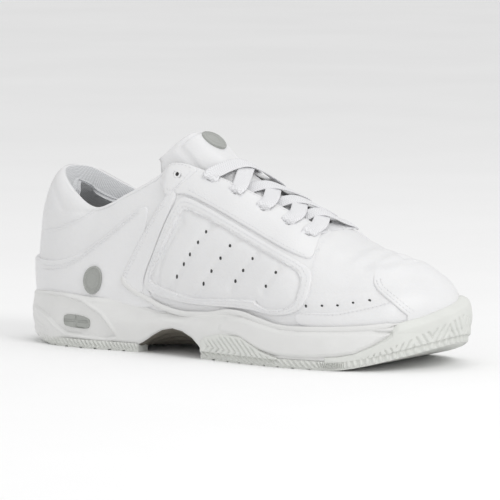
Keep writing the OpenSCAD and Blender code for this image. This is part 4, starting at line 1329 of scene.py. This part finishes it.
def strand_points(side, k):
    """One crossing: out of an eyelet, over the throat and under the other side one row up."""
    eye = lace_anchor(side, k, True, True)
    edge = lace_anchor(side, k, False, True)
    near = (mix(eye[0], edge[0], 0.75), unit(mix(eye[1], edge[1], 0.5)))
    if k == 1:
        ends = [(False, True), (True, True), (True, False)]
    else:
        ends = [(False, False)]
    return [lace_anchor(side, k, True, False), eye, near, crossing_point(side, k)] + [
        lace_anchor(-side, k - 1, *end) for end in ends]


def lace_strand(name, stations, **more):
    points, normals = (np.array(column) for column in zip(*stations))
    at = np.linspace(0, len(points) - 1, 26 * (len(points) - 1))
    centres = smooth_open(points, at)
    up = unit(smooth_open(normals, at))
    along = unit(np.gradient(centres, axis=0))
    up = unit(up - (up * along).sum(-1, keepdims=True) * along)
    half, thick = LACE_WIDTH / 2, LACE_THICKNESS / 2
    top = [(x * half, thick * (1 - 0.55 * abs(x) ** 4) * (0.92 + 0.08 * math.cos(x * 9)))
           for x in np.linspace(-0.97, 0.97, 13)]
    section = top + [(half, 0)] + [(x, -y) for x, y in top[::-1]] + [(-half, 0)]
    swept(name, centres, np.cross(along, up), up, section, "lace_fabric", uv_step=1.5, sharp=80, **more)


def make_laces():
    for name, side in SIDES.items():
        for k in range(1, len(LACE_ROWS)):
            lace_strand("lace_strand_%s_%d" % (name, k), strand_points(side, k))
    lowest = len(LACE_ROWS) - 1
    left, right = (lace_anchor(side, lowest, True, True) for side in (1, -1))
    unders = [lace_anchor(side, lowest, True, False) for side in (1, -1)]
    middle = ((left[0] + right[0]) / 2 + np.array([0, 0, 0.2]), unit(np.array([0.4, 0, 0.9])))
    lace_strand("lace_bottom_bar", [unders[0], left, middle, right, unders[1]], stands_for=["lace"])


def make_eyelets():
    """Pressed ring round the free top eyelet of each side."""
    for name, side in SIDES.items():
        centres, normals = on_upper(circle(FREE_EYELET, 2.0, 40), 2.3, side)
        along = unit(np.roll(centres, -1, 0) - np.roll(centres, 1, 0))
        b = angles(8)
        swept("eyelet_ring_" + name, centres, np.cross(along, normals), normals,
              np.stack([0.6 * np.cos(b), 0.35 * np.sin(b)], 1), "leather_overlay", closed=True)


# ---------- sockliner ----------

def make_sockliner():
    """Cupped footbed under a knitted cover."""
    count = 300
    s = TURN * np.arange(count) / count
    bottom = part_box("sockliner")[0][2] / MM
    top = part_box("sockliner_fabric")[1][2] / MM
    rings = []
    for inset, z in ((7.0, bottom), (6.6, bottom + 1.5), (6.7, top), (7.6, top + 1.3), (9.0, top + 0.9),
                     (12.0, top + 0.1), (17.0, top - 0.7)):
        ring = wall(s, FEATHER_Z, -inset)
        ring[:, 2] = z
        rings.append(ring)
    ring_solid("footbed", rings, "lining_fabric", body="sockliner", sharp=60,
               stands_for=["sockliner", "sockliner_fabric"])


def finish_cad_nodes():
    """Procedural materials on the CAD nodes that stay."""
    slots = {row["node"]: row["material_slot"] for row in frame["record"]["subparts"]}
    for node, piece in frame["nodes"].items():
        piece.data.materials.clear()
        piece.data.materials.append(MATERIALS[slots[node]])


def make_floor():
    mesh = bpy.data.meshes.new("floor")
    mesh.from_pydata([(-60, -60, 0), (60, -60, 0), (60, 60, 0), (-60, 60, 0)], [], [(0, 1, 2, 3)])
    floor = bpy.data.objects.new("floor", mesh)
    bpy.context.collection.objects.link(floor)
    n = new_material("floor_paper", (0.93, 0.93, 0.93), 0.9)
    n.shade(n.noise(3), 0.3, 0.7, (0.91, 0.91, 0.91), (0.94, 0.94, 0.94))
    mesh.materials.append(MATERIALS["floor_paper"])


place_camera()
light_studio()
make_floor()
finish_cad_nodes()
make_sole()
for side_name, side_sign in SIDES.items():
    make_quarter(side_sign, side_name)
    make_side(side_sign, side_name)
make_vamp()
make_toe_cap()
make_heel()
make_badges()
make_seams()
make_collar_lining()
make_tongue()
make_tongue_badge()
make_laces()
make_eyelets()
make_sockliner()
